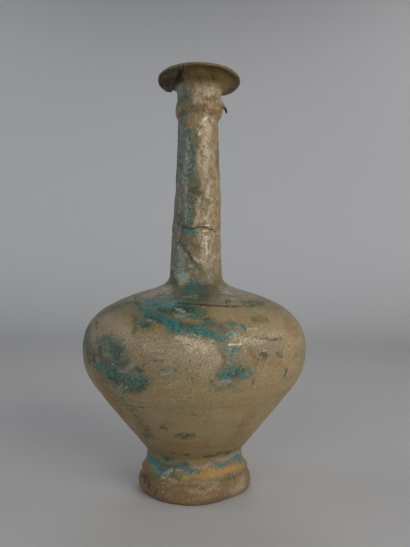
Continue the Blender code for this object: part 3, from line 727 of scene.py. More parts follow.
    s("ash", 0.6, [(178, 273, 3.2), (184, 276, 3.6), (181, 281, 3.4)])
    s("ash", 0.62, [(179, 249, 3.4), (180, 258, 4.6), (182, 266, 5.0), (183, 271, 4.6)])
    s("ash", 0.42, [(186, 281, 4.0), (194, 281, 4.4), (203, 281, 4.4), (212, 281, 4.0)])
    s("mint", 0.9, [(178.6, 277, 3.8), (183.6, 275, 4.2), (182, 281, 4.0)])
    s("mint", 0.46, [(188, 274, 2.8), (187, 280, 3.0)])
    s("teal", 0.42, [(190, 279, 2.6), (194, 281, 2.6), (191, 284, 2.4)])
    s("ochre", 0.9, [(180.6, 286.6, 1.6), (183.6, 284.4, 1.4)])
    s("soot_and_shade", 0.6, [(192, 275.6, 1.2)])
    s("rust_and_shade", 0.7, [(214, 262, 1.4), (215, 268, 1.7), (214.6, 272, 1.4)])
    s("ochre", 0.6, [(214.6, 244, 1.8), (216, 256, 2.0), (217, 270, 2.2)])
    # Painted highlight: a glint low on the lit side of the neck
    s("scratch_and_glint", 0.81, [(208.6, 277, 0.87)])
    # Painted shade: brown and rust-brown in the crease where the neck meets the shoulder, on the right
    s("brown", 0.3, [(208, 286, 2.2), (216, 287, 2.4), (224, 289, 2.2)])
    s("rust_and_shade", 0.4, [(212, 286, 2.6), (220, 287, 2.4)])

    # Ring and collar
    s("teal", 0.7, [(179, 86, 2.2), (181, 92, 2.2), (180, 98, 1.6)])
    s("moss", 0.6, [(185, 84, 3.0), (190, 84, 3.0)])
    s("ash", 0.45, [(189, 90, 2.2), (191, 95.6, 1.8)])
    s("moss", 0.6, [(186, 96, 3.2), (190, 100, 2.6)])
    s("rose", 0.75, [(195, 98, 2.6), (200, 100.6, 2.0)])
    # Cream crust on the collar's right, lightened as a painted highlight on its lit side
    s("pale", 0.2, [(200, 89, 4.0), (208, 92, 4.6), (210, 97, 4.4), (203, 98, 4.2)])
    # Painted shade: brown across the top of the collar, under the lip
    s("brown", 0.5, [(190, 83, 2.0), (200, 83, 2.2), (210, 83.6, 2.2)])
    s("brown", 0.45, [(192, 86, 2.6), (201, 86.4, 2.4), (208, 86, 2.0)])
    # Painted highlight on the collar's right side
    s("pale", 0.4, [(213, 88, 2.6), (214, 92, 2.4)])
    s("brown", 0.85, [(181, 105.4, 2.6), (189, 106.4, 3.2), (198, 105.4, 3.0), (206, 106, 2.2)])
    s("brown", 0.6, [(184, 108.4, 2.2), (192, 109, 2.4), (203, 109.4, 2.2)])
    s("ochre", 0.8, [(210, 104.6, 2.4), (216, 105, 2.4)])
    s("rust_and_shade", 0.45, [(206, 107, 2.0), (212, 110, 2.0)])
    s("ochre", 1.0, [(214, 106, 3.0), (217, 112, 3.2), (214.4, 116, 2.6)])
    s("rust_and_shade", 0.55, [(214, 114.6, 1.6), (210, 113.8, 1.4)])
    s("ochre", 0.6, [(189, 120, 4.0), (193, 125, 4.2)])
    s("pale", 0.3, [(198, 127, 2.4), (198, 132, 2.4)])
    s("brown", 0.55, [(186, 116, 2.2), (182, 113, 2.2)])
    s("ochre", 0.7, [(215, 121, 2.4), (216.6, 128, 2.4), (214.6, 136, 2.2)])
    s("rust_and_shade", 0.5, [(211.6, 124, 1.6), (213, 131, 1.6)])
    s("brown", 0.7, [(218.4, 118, 1.6), (218.4, 135, 1.8), (218.0, 152, 2.6), (218.0, 163, 2.8), (218.8, 170, 1.8)])
    s("ochre", 0.55, [(216, 140, 2.4), (217, 160, 2.6), (217.4, 180, 2.4), (218.4, 200, 2.4), (219, 216, 2.2)])
    # Painted highlight: a pale glow and near-white glints on the lit right side of the neck, below the ring
    s("pale", 0.66, [(203, 123, 3.2), (206, 118.6, 3.4), (207, 126, 3.2), (205, 131, 2.8)])
    s("pale", 0.50, [(209.6, 126, 2.6), (210, 132, 3.0), (209.6, 139, 2.6)])
    s("scratch_and_glint", 1.0, [(203.8, 120.2, 0.9), (205.2, 118.6, 1.2), (207, 117, 0.9)])
    s("scratch_and_glint", 0.9, [(205.6, 124.4, 0.9)])
    s("scratch_and_glint", 0.9, [(198.6, 134.6, 0.7), (200.6, 132.4, 0.9)])
    s("scratch_and_glint", 0.68, [(204, 136, 0.8), (209, 141.4, 0.6)])
    s("scratch_and_glint", 0.63, [(204.6, 176, 0.8), (211.6, 176, 0.6)])
    s("pale", 0.36, [(204, 140, 3.2), (206, 152, 4.0), (208, 160, 4.0), (203, 166, 3.4), (206, 172, 3.4)])
    s("brown", 0.75, [(197, 143.6, 3.0), (198.6, 148, 2.6)])
    s("brown", 0.5, [(211, 168, 2.0), (214, 174, 2.0)])
    s("rust_and_shade", 0.55, [(219.6, 102, 0.9), (222.0, 105.6, 0.9), (224.2, 108, 0.8)])

    # Underside of the lip
    s("moss", 0.95, [(162, 73, 3.0), (168, 70, 3.6), (175, 68.6, 2.8), (171, 75, 3.4)], on_lip)
    s("soot_and_shade", 0.65, [(163, 73, 3.0), (170, 71, 3.2)], on_lip)
    s("soot_and_shade", 0.8, [(160, 80, 2.2), (162, 75, 1.8)], on_lip)
    s("umber", 1.0, [(162, 85, 2.8), (166, 81.6, 3.0), (172, 80, 3.4), (176, 80, 3.0), (171, 88, 4.0)], on_lip)
    s("umber", 0.9, [(166, 84, 3.0), (173, 85, 3.4), (170, 91, 3.2)], on_lip)
    s("rust_and_shade", 0.45, [(168, 84, 1.7), (172, 86.6, 1.7)], on_lip)
    # Painted shadow: dark and umber where the lip's shadow falls on the collar beside the crack, running into the
    # crack's own dark line
    s("dark", 0.9, [(177.4, 77, 2.4), (177, 82, 2.4)], on_lip)
    s("umber", 0.9, [(182.6, 69.6, 1.2), (180.4, 74.4, 2.0), (178, 79, 2.8), (182, 79.4, 2.2)], on_lip)
    s("dark", 0.85, [(182.8, 70.4, 0.9), (181, 74.4, 1.5)], on_lip)
    s("umber", 0.7, [(180, 80.6, 1.8), (184.6, 81.2, 1.4)])
    s("paste", 1.0, [(179.6, 64.4, 2.2), (180, 68.4, 2.2)], on_lip)
    # Painted shade: a dark line along the underside of the lip, just under its edge where it turns under
    s("soot_and_shade", 0.8, [(186, 64.6, 1.0), (200, 64.2, 1.2), (213, 65.8, 1.3), (224, 69.8, 1.3), (231.6, 75, 1.3), (236, 81, 1.3)], on_lip)
    s("brown", 0.9, [(186, 62.2, 1.0), (196, 61.6, 1.0), (207, 62.2, 1.0), (217, 64.4, 0.9), (227, 68.4, 0.9), (235, 74.0, 0.9),
                     (239.4, 80, 0.9)], on_rim)
    s("ochre", 0.85, [(192, 69, 3.0), (204, 71, 3.6), (198, 74, 3.0)], on_lip)
    s("pale", 0.3, [(198, 71, 2.4), (206, 73, 2.4)], on_lip)
    s("moss", 0.5, [(187, 72, 2.2), (188, 78, 2.4)], on_lip)
    s("soot_and_shade", 0.7, [(213, 77.6, 1.4), (215.6, 78.6, 1.2)], on_lip)
    s("gold", 0.4, [(194, 73, 2.0), (202, 72, 2.6)], on_lip)
    s("brown", 0.6, [(190, 66.6, 2.2), (202, 66.6, 2.0), (214, 70, 2.2)], on_lip)
    s("soot_and_shade", 0.5, [(194, 75.6, 1.6), (197, 77.6, 1.4), (208, 76, 1.3)], on_lip)
    s("gold", 0.55, [(222, 76, 2.4), (229, 80, 2.4), (220, 83, 2.6), (230, 87, 2.2)], on_lip)
    s("brown", 0.6, [(235, 78, 1.8), (237, 84, 1.8), (233, 90, 1.8)], on_lip)
    s("ochre", 0.8, [(216, 74, 3.0), (226, 79, 3.6), (232, 84, 3.4), (224, 88, 3.2)], on_lip)
    s("moss", 0.45, [(224, 90, 1.8), (217, 86, 2.0)], on_lip)
    # Painted shade: darker brown where the underside of the lip meets the collar
    s("brown", 0.75, [(192, 80, 2.2), (200, 80.4, 2.2), (208, 81, 2.2)], on_lip)
    s("soot_and_shade", 0.4, [(200, 80, 1.4), (204, 80.6, 1.4)])

    # The back, plainer: strokes through (azimuth, height, half width in metres)
    def back(kind, strength, *stops):
        m.line(kind, strength, [wall_at(a, z) for a, z, _ in stops], [w for _, _, w in stops])

    back("rose", 0.8, (120, 0.100, 0.009), (140, 0.104, 0.012), (158, 0.100, 0.010))
    back("rose", 0.8, (205, 0.100, 0.011), (225, 0.096, 0.012), (240, 0.103, 0.009))
    back("khaki", 0.8, (105, 0.070, 0.012), (135, 0.064, 0.014), (165, 0.068, 0.012))
    back("khaki", 0.8, (195, 0.062, 0.014), (225, 0.068, 0.014), (250, 0.062, 0.012))
    back("khaki", 0.7, (165, 0.122, 0.008), (190, 0.119, 0.009), (215, 0.122, 0.007))
    back("cool", 0.8, (200, 0.136, 0.005), (222, 0.133, 0.006), (245, 0.130, 0.006), (265, 0.124, 0.005))
    back("cool", 0.7, (255, 0.108, 0.006), (262, 0.096, 0.006))
    back("teal", 0.95, (114, 0.129, 0.0016), (126, 0.124, 0.0030), (140, 0.118, 0.0042), (152, 0.113, 0.0036), (163, 0.110, 0.0018))
    back("turq", 0.9, (120, 0.1258, 0.0010), (133, 0.1205, 0.0017), (146, 0.1150, 0.0019), (156, 0.1115, 0.0011))
    back("pine", 0.8, (130, 0.1235, 0.0016), (142, 0.1185, 0.0020))
    back("teal", 0.95, (166, 0.094, 0.0022), (173, 0.089, 0.0046), (182, 0.085, 0.0066), (192, 0.085, 0.0056), (201, 0.089, 0.0028))
    back("pine", 0.75, (176, 0.087, 0.0026), (186, 0.083, 0.0030))
    back("turq", 0.5, (186, 0.0865, 0.0022), (195, 0.0880, 0.0020))
    back("teal", 0.95, (192, 0.1345, 0.0018), (206, 0.1315, 0.0034), (224, 0.1280, 0.0044), (240, 0.1225, 0.0034), (250, 0.1185, 0.0018))
    back("turq", 0.9, (200, 0.1335, 0.0010), (216, 0.1305, 0.0016), (234, 0.1250, 0.0018), (244, 0.1210, 0.0010))
    back("pine", 0.8, (210, 0.1290, 0.0018), (226, 0.1260, 0.0022))
    back("teal", 0.85, (232, 0.100, 0.0020), (240, 0.096, 0.0044), (248, 0.094, 0.0050), (256, 0.096, 0.0026))
    back("turq", 0.45, (240, 0.0975, 0.0018), (250, 0.0955, 0.0020))
    back("teal", 0.7, (106, 0.090, 0.0022), (112, 0.086, 0.0034), (118, 0.085, 0.0024))
    back("mint", 0.6, (150, 0.1165, 0.0012), (158, 0.1140, 0.0014))
    back("ash", 0.7, (204, 0.0850, 0.0020), (210, 0.0840, 0.0022))
    back("ash", 0.6, (250, 0.0890, 0.0018), (257, 0.0880, 0.0020))
    back("ochre", 0.7, (126, 0.111, 0.0030), (136, 0.107, 0.0034))
    back("ochre", 0.6, (214, 0.113, 0.0034), (226, 0.110, 0.0036))
    back("ochre", 0.5, (160, 0.046, 0.0050), (185, 0.044, 0.0060), (210, 0.047, 0.0050))
    back("moss", 0.6, (146, 0.052, 0.0026), (154, 0.049, 0.0030))
    back("moss", 0.5, (228, 0.058, 0.0036), (236, 0.054, 0.0036))
    back("soot_and_shade", 0.5, (188, 0.104, 0.0010), (194, 0.1045, 0.0010))
    back("dark", 0.9, (170, 0.1306, 0.0009), (186, 0.1300, 0.0010), (200, 0.1296, 0.0008))
    back("teal", 0.85, (128, 0.027, 0.0014), (140, 0.0245, 0.0020), (152, 0.0240, 0.0014))
    back("teal", 0.85, (196, 0.0260, 0.0014), (212, 0.0235, 0.0022), (226, 0.0240, 0.0014))
    back("ash", 0.6, (165, 0.0240, 0.0018), (178, 0.0235, 0.0020))
    back("amber", 0.9, (100, 0.0195, 0.0026), (118, 0.0180, 0.0032), (138, 0.0175, 0.0026))
    back("amber", 0.6, (180, 0.0180, 0.0026), (196, 0.0175, 0.0028))
    back("moss", 0.7, (150, 0.0175, 0.0024), (162, 0.0170, 0.0024), (235, 0.0180, 0.0030))
    back("rust_and_shade", 0.35, (190, 0.0080, 0.0050), (200, 0.0070, 0.0050))
    back("brown", 0.7, (225, 0.0080, 0.0050), (245, 0.0075, 0.0050))
    back("teal", 0.7, (146, 0.159, 0.0014), (150, 0.168, 0.0022), (147, 0.177, 0.0014))
    back("teal", 0.6, (212, 0.186, 0.0014), (216, 0.196, 0.0020))
    back("cool", 0.6, (240, 0.150, 0.0040), (238, 0.180, 0.0044), (241, 0.215, 0.0042), (240, 0.245, 0.0036))
    back("cool", 0.5, (215, 0.160, 0.0034), (214, 0.200, 0.0036))
    back("moss", 0.6, (170, 0.214, 0.0024), (176, 0.222, 0.0028))
    back("brown", 0.6, (120, 0.196, 0.0024), (132, 0.204, 0.0030))
    back("brown", 0.7, (100, 0.2585, 0.0024), (140, 0.2580, 0.0028), (180, 0.2585, 0.0026), (220, 0.2580, 0.0026))
    back("ochre", 0.6, (160, 0.240, 0.0024), (168, 0.247, 0.0026))
    back("pale", 0.4, (95, 0.170, 0.0040), (98, 0.200, 0.0040), (96, 0.230, 0.0036))


def parts_of(p):
    """Shares of the inside, the underside and the top of the lip at each point, each 0 or 1."""
    shift = shift_at(p[:, 2])
    r = np.hypot(p[:, 0] - shift, p[:, 1])
    z = p[:, 2] + math.tan(LIP_TILT) * p[:, 0] * smooth(0.262, 0.274, p[:, 2])
    deep = np.interp(z, OUTER_Z, OUTER_R) - r
    inside = (deep > 0.0022) & (z > 0.0130) & (z < 0.2735)
    under = (z < 0.0110) & (r < FOOT_REST_IN_R + 0.0004)
    middle = np.interp(r, [0.0100, 0.0130, 0.0168, LIP_R], [0.2620, 0.2700, 0.2752, 0.2788])
    top = (z > middle) & (z > 0.2620) & ~inside & (r < LIP_R - 0.0016)
    return inside.astype(float), under.astype(float), top.astype(float)


# ---------------------------------------------------------------- relief

def grooves(p, seed, count, low, high, width, depth):
    """Shallow turning lines round the body at uneven heights."""
    chance = np.random.default_rng(seed)
    h = np.zeros(len(p))
    a = np.arctan2(p[:, 1], p[:, 0])
    for _ in range(count):
        z0 = low + (high - low) * chance.random()
        wander = 0.0005 * np.sin(a + 6.28 * chance.random()) + 0.0003 * np.sin(3 * a + 6.28 * chance.random())
        w = width * (0.6 + 0.8 * chance.random())
        fade = smooth(-0.9, 0.3, np.cos(a - 6.28 * chance.random()))
        h -= depth * (0.4 + 0.6 * chance.random()) * fade * np.exp(-((p[:, 2] - z0 - wander) / w) ** 2)
    return h


def relief(p, zone, marks):
    """How far each point stands out from the turned form, in metres."""
    z = p[:, 2]
    outer = (zone == FOOT) | (zone == BODY) | (zone == NECK) | (zone == RING)
    lip = (zone == LIP_BELOW) | (zone == LIP_ABOVE)
    body = smooth(0.026, 0.036, z) * (1 - smooth(0.128, 0.142, z))
    neck = smooth(0.140, 0.150, z) * (1 - smooth(0.244, 0.252, z))
    foot = 1 - smooth(0.011, 0.014, z)
    cuff = smooth(0.012, 0.015, z) * (1 - smooth(0.024, 0.028, z))
    head = smooth(0.246, 0.252, z)

    h = 0.00032 * fbm(p, 0.050, 2, 1)
    h += body * 0.00016 * fbm(p, (0.060, 0.060, 0.0055), 3, 5)
    h += body * 0.00010 * fbm(p, 0.0060, 3, 9)
    h += body * smooth(0.075, 0.050, z) * 0.00006 * fbm(p, (0.020, 0.020, 0.0022), 2, 14)
    h += neck * (0.00030 * fbm(p, 0.0085, 4, 21) + 0.00018 * fbm(p, (0.012, 0.012, 0.0032), 3, 23))
    h += foot * (0.00022 * fbm(p, 0.0045, 3, 31) + 0.00016 * np.abs(fbm(p, 0.0022, 2, 35)))
    h += cuff * (0.00024 * fbm(p, 0.0050, 3, 41) + 0.00016 * fbm(p, (0.012, 0.012, 0.0022), 2, 43))
    h += head * 0.00020 * fbm(p, 0.0052, 4, 51)
    h = np.where(outer | lip, h, 0.00030 * fbm(p, 0.030, 2, 3))
    h = np.where(zone == LIP_BELOW, h + 0.00014 * fbm(p, 0.0032, 2, 61), h)
    h = np.where(zone == UNDER, 0.00025 * fbm(p, 0.0060, 3, 71), h)
    h = np.where(zone == INSIDE, 0.00035 * fbm(p, (0.050, 0.050, 0.009), 2, 75), h)

    # The crust has gone where the old glaze shows, and stands up in lumps where it is thick
    ragged = 0.55 * fbm(p, 0.0042, 3, 81)
    bare = np.maximum(np.maximum(marks.get("teal"), marks.get("turq")), marks.get("pine"))
    gone = smooth(0.42, 0.62, bare + ragged * 0.8)
    crust = np.maximum(np.maximum(marks.get("mint"), marks.get("pale")), np.maximum(marks.get("ash"), marks.get("scratch_and_glint")))
    thick = smooth(0.45, 0.75, crust + ragged * 0.5)
    loose = smooth(0.25, 0.55, fbm(p, 0.0105, 4, 85)) * body
    h = np.where(outer, h - 0.00017 * gone * (1 - foot) + 0.00014 * thick - 0.00008 * loose, h)
    h = np.where(outer, h - 0.00045 * smooth(0.4, 0.9, marks.get("crack")) - 0.00016 * marks.get("dark") - 0.00022 * marks.get("crust_edge"), h)
    h -= 0.00035 * marks.get("pit")
    h = np.where(outer, h + grooves(p, 3, 16, 0.030, 0.082, 0.0009, 0.00014), h)
    h = np.where(outer, h + grooves(p, 4, 6, 0.100, 0.130, 0.0008, 0.00010), h)
    h = np.where(outer, h + grooves(p, 8, 7, 0.150, 0.244, 0.0009, 0.00010), h)

    # The neck has slipped a little along its crack, so the upper part overhangs
    seam = float(np.mean([on_wall(x, y)[2] for x, y in ((195, 228), (205, 227), (214, 229.5))]))
    near = smooth(0.0, -0.004, p[:, 1])
    h += np.where(zone == NECK, near * 0.00022 * smooth(0.0, 0.0009, z - seam) * (1 - smooth(0.003, 0.009, z - seam)), 0)
    return h


def pits(marks, mesh_points, normals, zone):
    """Small holes where grains and blisters came out, scattered over the outside."""
    chance = np.random.default_rng(21)
    wall = np.nonzero((zone == BODY) | (zone == FOOT) | (zone == NECK))[0]
    for i in chance.choice(wall, 520, replace=False):
        size = 0.0004 + 0.0007 * chance.random() ** 2
        marks.line("pit", 0.35 + 0.65 * chance.random(), [mesh_points[i]], [size])


# ---------------------------------------------------------------- breaks

def cutter(name, outline, z_low, z_high, layers, amount, fixed, lean=0.0):
    """Block over a plan outline, its walls rough except where fixed says. It leans to -X by lean metres a metre."""
    outline = np.array(outline, float)
    bm_v, bm_f = [], []
    n = len(outline)
    for k in range(layers + 1):
        z = z_low + (z_high - z_low) * k / layers
        p = np.column_stack([outline, np.full(n, z)])
        rough = np.stack([fbm(p, 0.0022, 2, 91), fbm(p, 0.0022, 2, 93)], axis=1) * amount
        rough[[fixed(x, y) for x, y in outline]] = 0
        p[:, :2] += rough
        p[:, 0] -= lean * (z - z_low)
        bm_v += [tuple(v) for v in p]
    for k in range(layers):
        for i in range(n):
            j = (i + 1) % n
            bm_f.append((k * n + i, k * n + j, (k + 1) * n + j, (k + 1) * n + i))
    bm_f.append(tuple(range(n))[::-1])
    bm_f.append(tuple(layers * n + i for i in range(n)))
    mesh = bpy.data.meshes.new(name)
    mesh.from_pydata(bm_v, [], bm_f)
    mesh.update()
    obj = bpy.data.objects.new(name, mesh)
    bpy.context.scene.collection.objects.link(obj)
    return obj


# Front edge of what is gone from the back of the lip: it comes in close round the collar on the left
BREAK = [(-0.0360, 0.0148), (-0.0225, 0.0146), (-0.0178, 0.0141), (-0.0163, 0.0095), (-0.0152, 0.0050), (-0.0135, 0.0061),
         (-0.0114, 0.0102), (-0.0083, 0.0136), (-0.0044, 0.0160), (0.0000, 0.0174), (0.0031, 0.0177), (0.0080, 0.0184),
         (0.0160, 0.0196), (0.0240, 0.0203), (0.0380, 0.0207)]
# The crack, from the rim in to the collar, with its half width
CRACK = [(-0.0074, -0.0310, 0.00045), (-0.0074, -0.0285, 0.00040), (-0.0073, -0.0246, 0.00028), (-0.0086, -0.0212, 0.00055),
         (-0.0099, -0.0177, 0.00050), (-0.0107, -0.0140, 0.00080), (-0.0112, -0.0112, 0.00040)]


def break_outline():
    points = []
    for (xa, ya), (xb, yb) in zip(BREAK, BREAK[1:]):
        steps = max(1, int(math.hypot(xb - xa, yb - ya) / 0.0005))
        points += [(xa + (xb - xa) * k / steps, ya + (yb - ya) * k / steps) for k in range(steps)]
    return points + [BREAK[-1], (0.038, 0.040), (-0.036, 0.040)]


def crack_outline():
    """Plan of the gap where the lip is cracked through."""
    path = along(np.array(CRACK), 1.6)
    way = np.gradient(path[:, :2], axis=0)
    way /= np.linalg.norm(way, axis=1)[:, None]
    side = np.stack([-way[:, 1], way[:, 0]], axis=1)
    t = np.arange(len(path))
    jag = 0.00018 * np.sin(1.9 * t) + 0.00010 * np.sin(4.7 * t + 1.0)
    left = path[:, :2] + side * (path[:, 2] + jag)[:, None]
    right = path[:, :2] - side * (path[:, 2] - jag)[:, None]
    return [tuple(q) for q in right] + [tuple(q) for q in left[::-1]]


def thorn():
    """Thin spur of fused glaze off the right of the collar, drooping past the ring to a dark tip."""
    root = RING_R + NECK_SHIFT + NECK_LEAN + LIP_SHIFT * 0.8 - 0.0026
    places, faces = [], []
    steps, around = 16, 14
    for k in range(steps + 1):
        t = k / steps
        x = root + 0.0058 * t
        z = 0.2645 - 0.0069 * t ** 1.25
        blob = math.exp(-((t - 0.86) / 0.13) ** 2)
        tall = 0.0020 * (1 - t) ** 0.8 + 0.00075 + 0.00110 * blob
        deep = 0.0014 * (1 - t) + 0.00055 + 0.00080 * blob
        for i in range(around):
            a = 2 * math.pi * i / around
            wob = 1 + 0.14 * math.sin(5 * t + 3 * a) + 0.10 * math.sin(2 * a + 9 * t)
            places.append((x, deep * wob * math.cos(a), z + tall * wob * math.sin(a)))
    for k in range(steps):
        for i in range(around):
            j = (i + 1) % around
            faces.append((k * around + i, k * around + j, (k + 1) * around + j, (k + 1) * around + i))
    faces.append(tuple(range(around))[::-1])
    faces.append(tuple(steps * around + i for i in range(around)))
    mesh = bpy.data.meshes.new("thorn")
    mesh.from_pydata(places, [], faces)
    mesh.update()
    obj = bpy.data.objects.new("thorn", mesh)
    bpy.context.scene.collection.objects.link(obj)
    return obj


def face_outwards(obj):
    """Turns the faces of a closed mesh outwards."""
    mesh = obj.data
    mesh.calc_loop_triangles()
    volume = sum(mesh.vertices[a].co.dot(mesh.vertices[b].co.cross(mesh.vertices[c].co))
                 for a, b, c in (t.vertices for t in mesh.loop_triangles))
    if volume < 0:
        mesh.flip_normals()


def build_vase():
    places, faces, normals, zone = turned(rings())
    base = settle(places)
    marks = Marks(base, normals)
    lay_marks(marks)
    pits(marks, base, normals, zone)
    moved = base + normals * relief(base, zone, marks)[:, None]

    mesh = bpy.data.meshes.new("vase_body")
    mesh.from_pydata([tuple(v) for v in moved], [], faces)
    mesh.update()
    obj = bpy.data.objects.new("vase_body", mesh)
    bpy.context.scene.collection.objects.link(obj)
    face_outwards(obj)

    for tool, operation in (
            (cutter("lip_break", break_outline(), 0.2725, 0.3000, 40, 0.0005, lambda x, y: y > 0.03), 'DIFFERENCE'),
            (cutter("lip_crack", crack_outline(), 0.2730, 0.2850, 24, 0.0002, lambda x, y: False, 0.42), 'DIFFERENCE'),
            (thorn(), 'UNION')):
        face_outwards(tool)
        mod = obj.modifiers.new(tool.name, 'BOOLEAN')
        mod.operation, mod.solver, mod.object = operation, 'EXACT', tool
        done = bpy.data.meshes.new_from_object(obj.evaluated_get(bpy.context.evaluated_depsgraph_get()))
        obj.modifiers.clear()
        obj.data = done
        bpy.data.objects.remove(tool, do_unlink=True)
    return obj


KINDS = ("halo", "rose", "khaki", "cool", "ochre", "gold", "amber", "brown", "rust_and_shade", "moss", "umber", "pale", "teal", "pine", "turq", "cobalt",
         "ash", "mint", "scratch_and_glint", "soot_and_shade", "dark", "crack", "crust_edge", "paste", "pit")


def paint(obj):
    """Stores the marks and the shares of the hidden sides as attributes of the finished mesh."""
    mesh = obj.data
    places = np.empty(len(mesh.vertices) * 3)
    mesh.vertices.foreach_get("co", places)
    places = places.reshape(-1, 3)
    normals = np.empty(len(places) * 3)
    mesh.vertex_normals.foreach_get("vector", normals)
    marks = Marks(places, normals.reshape(-1, 3))
    lay_marks(marks)
    edge = [(x, y) for x, y in break_outline() if y < 0.03 and math.hypot(x - float(shift_at(0.277)), y) < LIP_R + 0.001]
    for z in (0.2750, 0.2765, 0.2780, 0.2795):
        marks.line("paste", 0.95, [(x, y, z) for x, y in edge], [0.00055] * len(edge))
    for x, y in crack_outline():
        marks.line("dark", 0.9, [(x, y, 0.2745), (x, y, 0.2790)], [0.0005, 0.0005])
    marks.line("thorn", 1.0, [(0.0219, 0.0, 0.2580), (0.0236, 0.0, 0.2568)], [0.0021, 0.0021])
    inside, under, top = parts_of(places)
    fields = {kind: marks.get(kind) for kind in KINDS + ("thorn",)}
    fields.update(inside=inside, under=under, lip_top=top)
    for name, values in fields.items():
        layer = mesh.attributes.new(name, 'FLOAT', 'POINT')
        layer.data.foreach_set("value", np.ascontiguousarray(values, dtype=np.float32))


# ---------------------------------------------------------------- glaze and crust

def srgb(r, g, b):
    """Linear colour for 0 to 255 display values."""
    return tuple((c / 255 / 12.92 if c / 255 <= 0.04045 else ((c / 255 + 0.055) / 1.055) ** 2.4)
                 for c in (r, g, b)) + (1.0,)


class Graph:
    """Short forms for building one material's nodes."""

    def __init__(self, name):
        self.material = bpy.data.materials.new(name)
        self.material.use_nodes = True
        self.nodes = self.material.node_tree.nodes
        self.links = self.material.node_tree.links
        self.shader = self.nodes["Principled BSDF"]
        self.place = self.nodes.new("ShaderNodeTexCoord").outputs["Object"]

    def put(self, socket, value):
        if isinstance(value, bpy.types.NodeSocket):
            self.links.new(value, socket)
        else:
            socket.default_value = value

    def calc(self, operation, *values, clamp=False):
        n = self.nodes.new("ShaderNodeMath")
        n.operation = operation
        n.use_clamp = clamp
        for socket, value in zip(n.inputs, values):
            self.put(socket, value)
        return n.outputs[0]

    def step(self, value, low, high, out_low=0.0, out_high=1.0):
        n = self.nodes.new("ShaderNodeMapRange")
        n.interpolation_type = 'SMOOTHSTEP'
        for socket, v in zip(n.inputs, (value, low, high, out_low, out_high)):
            self.put(socket, v)
        return n.outputs[0]

    def noise(self, size, detail=3.0, rough=0.55, at=0.0, stretch=(1, 1, 1), twist=0.0):
        """Noise with features about size metres across, longer along the axes where stretch is over 1."""
        m = self.nodes.new("ShaderNodeMapping")
        self.put(m.inputs["Vector"], self.place)
        m.inputs["Scale"].default_value = [1 / size / s for s in stretch]
        m.inputs["Location"].default_value = (at, at * 1.7, at * 0.6)
        n = self.nodes.new("ShaderNodeTexNoise")
        self.put(n.inputs["Vector"], m.outputs[0])
        n.inputs["Scale"].default_value = 1.0
        n.inputs["Detail"].default_value = detail
        n.inputs["Roughness"].default_value = rough
        n.inputs["Distortion"].default_value = twist
        return n.outputs["Fac"]

    def cells(self, size, at=0.0):
        """A random grey for each cell of about size metres."""
        m = self.nodes.new("ShaderNodeMapping")
        self.put(m.inputs["Vector"], self.place)
        m.inputs["Scale"].default_value = [1 / size] * 3
        m.inputs["Location"].default_value = (at, at, at)
        n = self.nodes.new("ShaderNodeTexVoronoi")
        self.put(n.inputs["Vector"], m.outputs[0])
        n.inputs["Scale"].default_value = 1.0
        split = self.nodes.new("ShaderNodeSeparateColor")
        self.put(split.inputs[0], n.outputs["Color"])
        return split.outputs[0], n.outputs["Distance"]

    def field(self, name):
        n = self.nodes.new("ShaderNodeAttribute")
        n.attribute_name = name
        return n.outputs["Fac"]

    def ramp(self, value, stops):
        n = self.nodes.new("ShaderNodeValToRGB")
        self.put(n.inputs[0], value)
        band = n.color_ramp
        while len(band.elements) < len(stops):
            band.elements.new(0.5)
        for element, (at, colour) in zip(band.elements, stops):
            element.position = at
            element.color = colour if len(colour) == 4 else srgb(*colour)
        return n.outputs[0]

    def mix(self, share, a, b, how='MIX'):
        n = self.nodes.new("ShaderNodeMix")
        n.data_type = 'RGBA'
        n.blend_type = how
        for index, value in ((0, share), (6, a), (7, b)):
            self.put(n.inputs[index], srgb(*value) if isinstance(value, tuple) and len(value) == 3 else value)
        return n.outputs[2]

    def frayed(self, name, edge_noise, amount=0.9, centre=0.5, soft=0.10):
        """A mark's field cut to a ragged edge by noise."""
        return self.fray(self.field(name), edge_noise, amount, centre, soft)

    def fray(self, field, edge_noise, amount=0.9, centre=0.5, soft=0.10):
        reach = self.calc('MULTIPLY', self.step(field, 0.01, 0.30), amount)
        pushed = self.calc('ADD', field, self.calc('MULTIPLY', self.calc('SUBTRACT', edge_noise, 0.5), reach))
        return self.step(pushed, centre - soft, centre + soft)


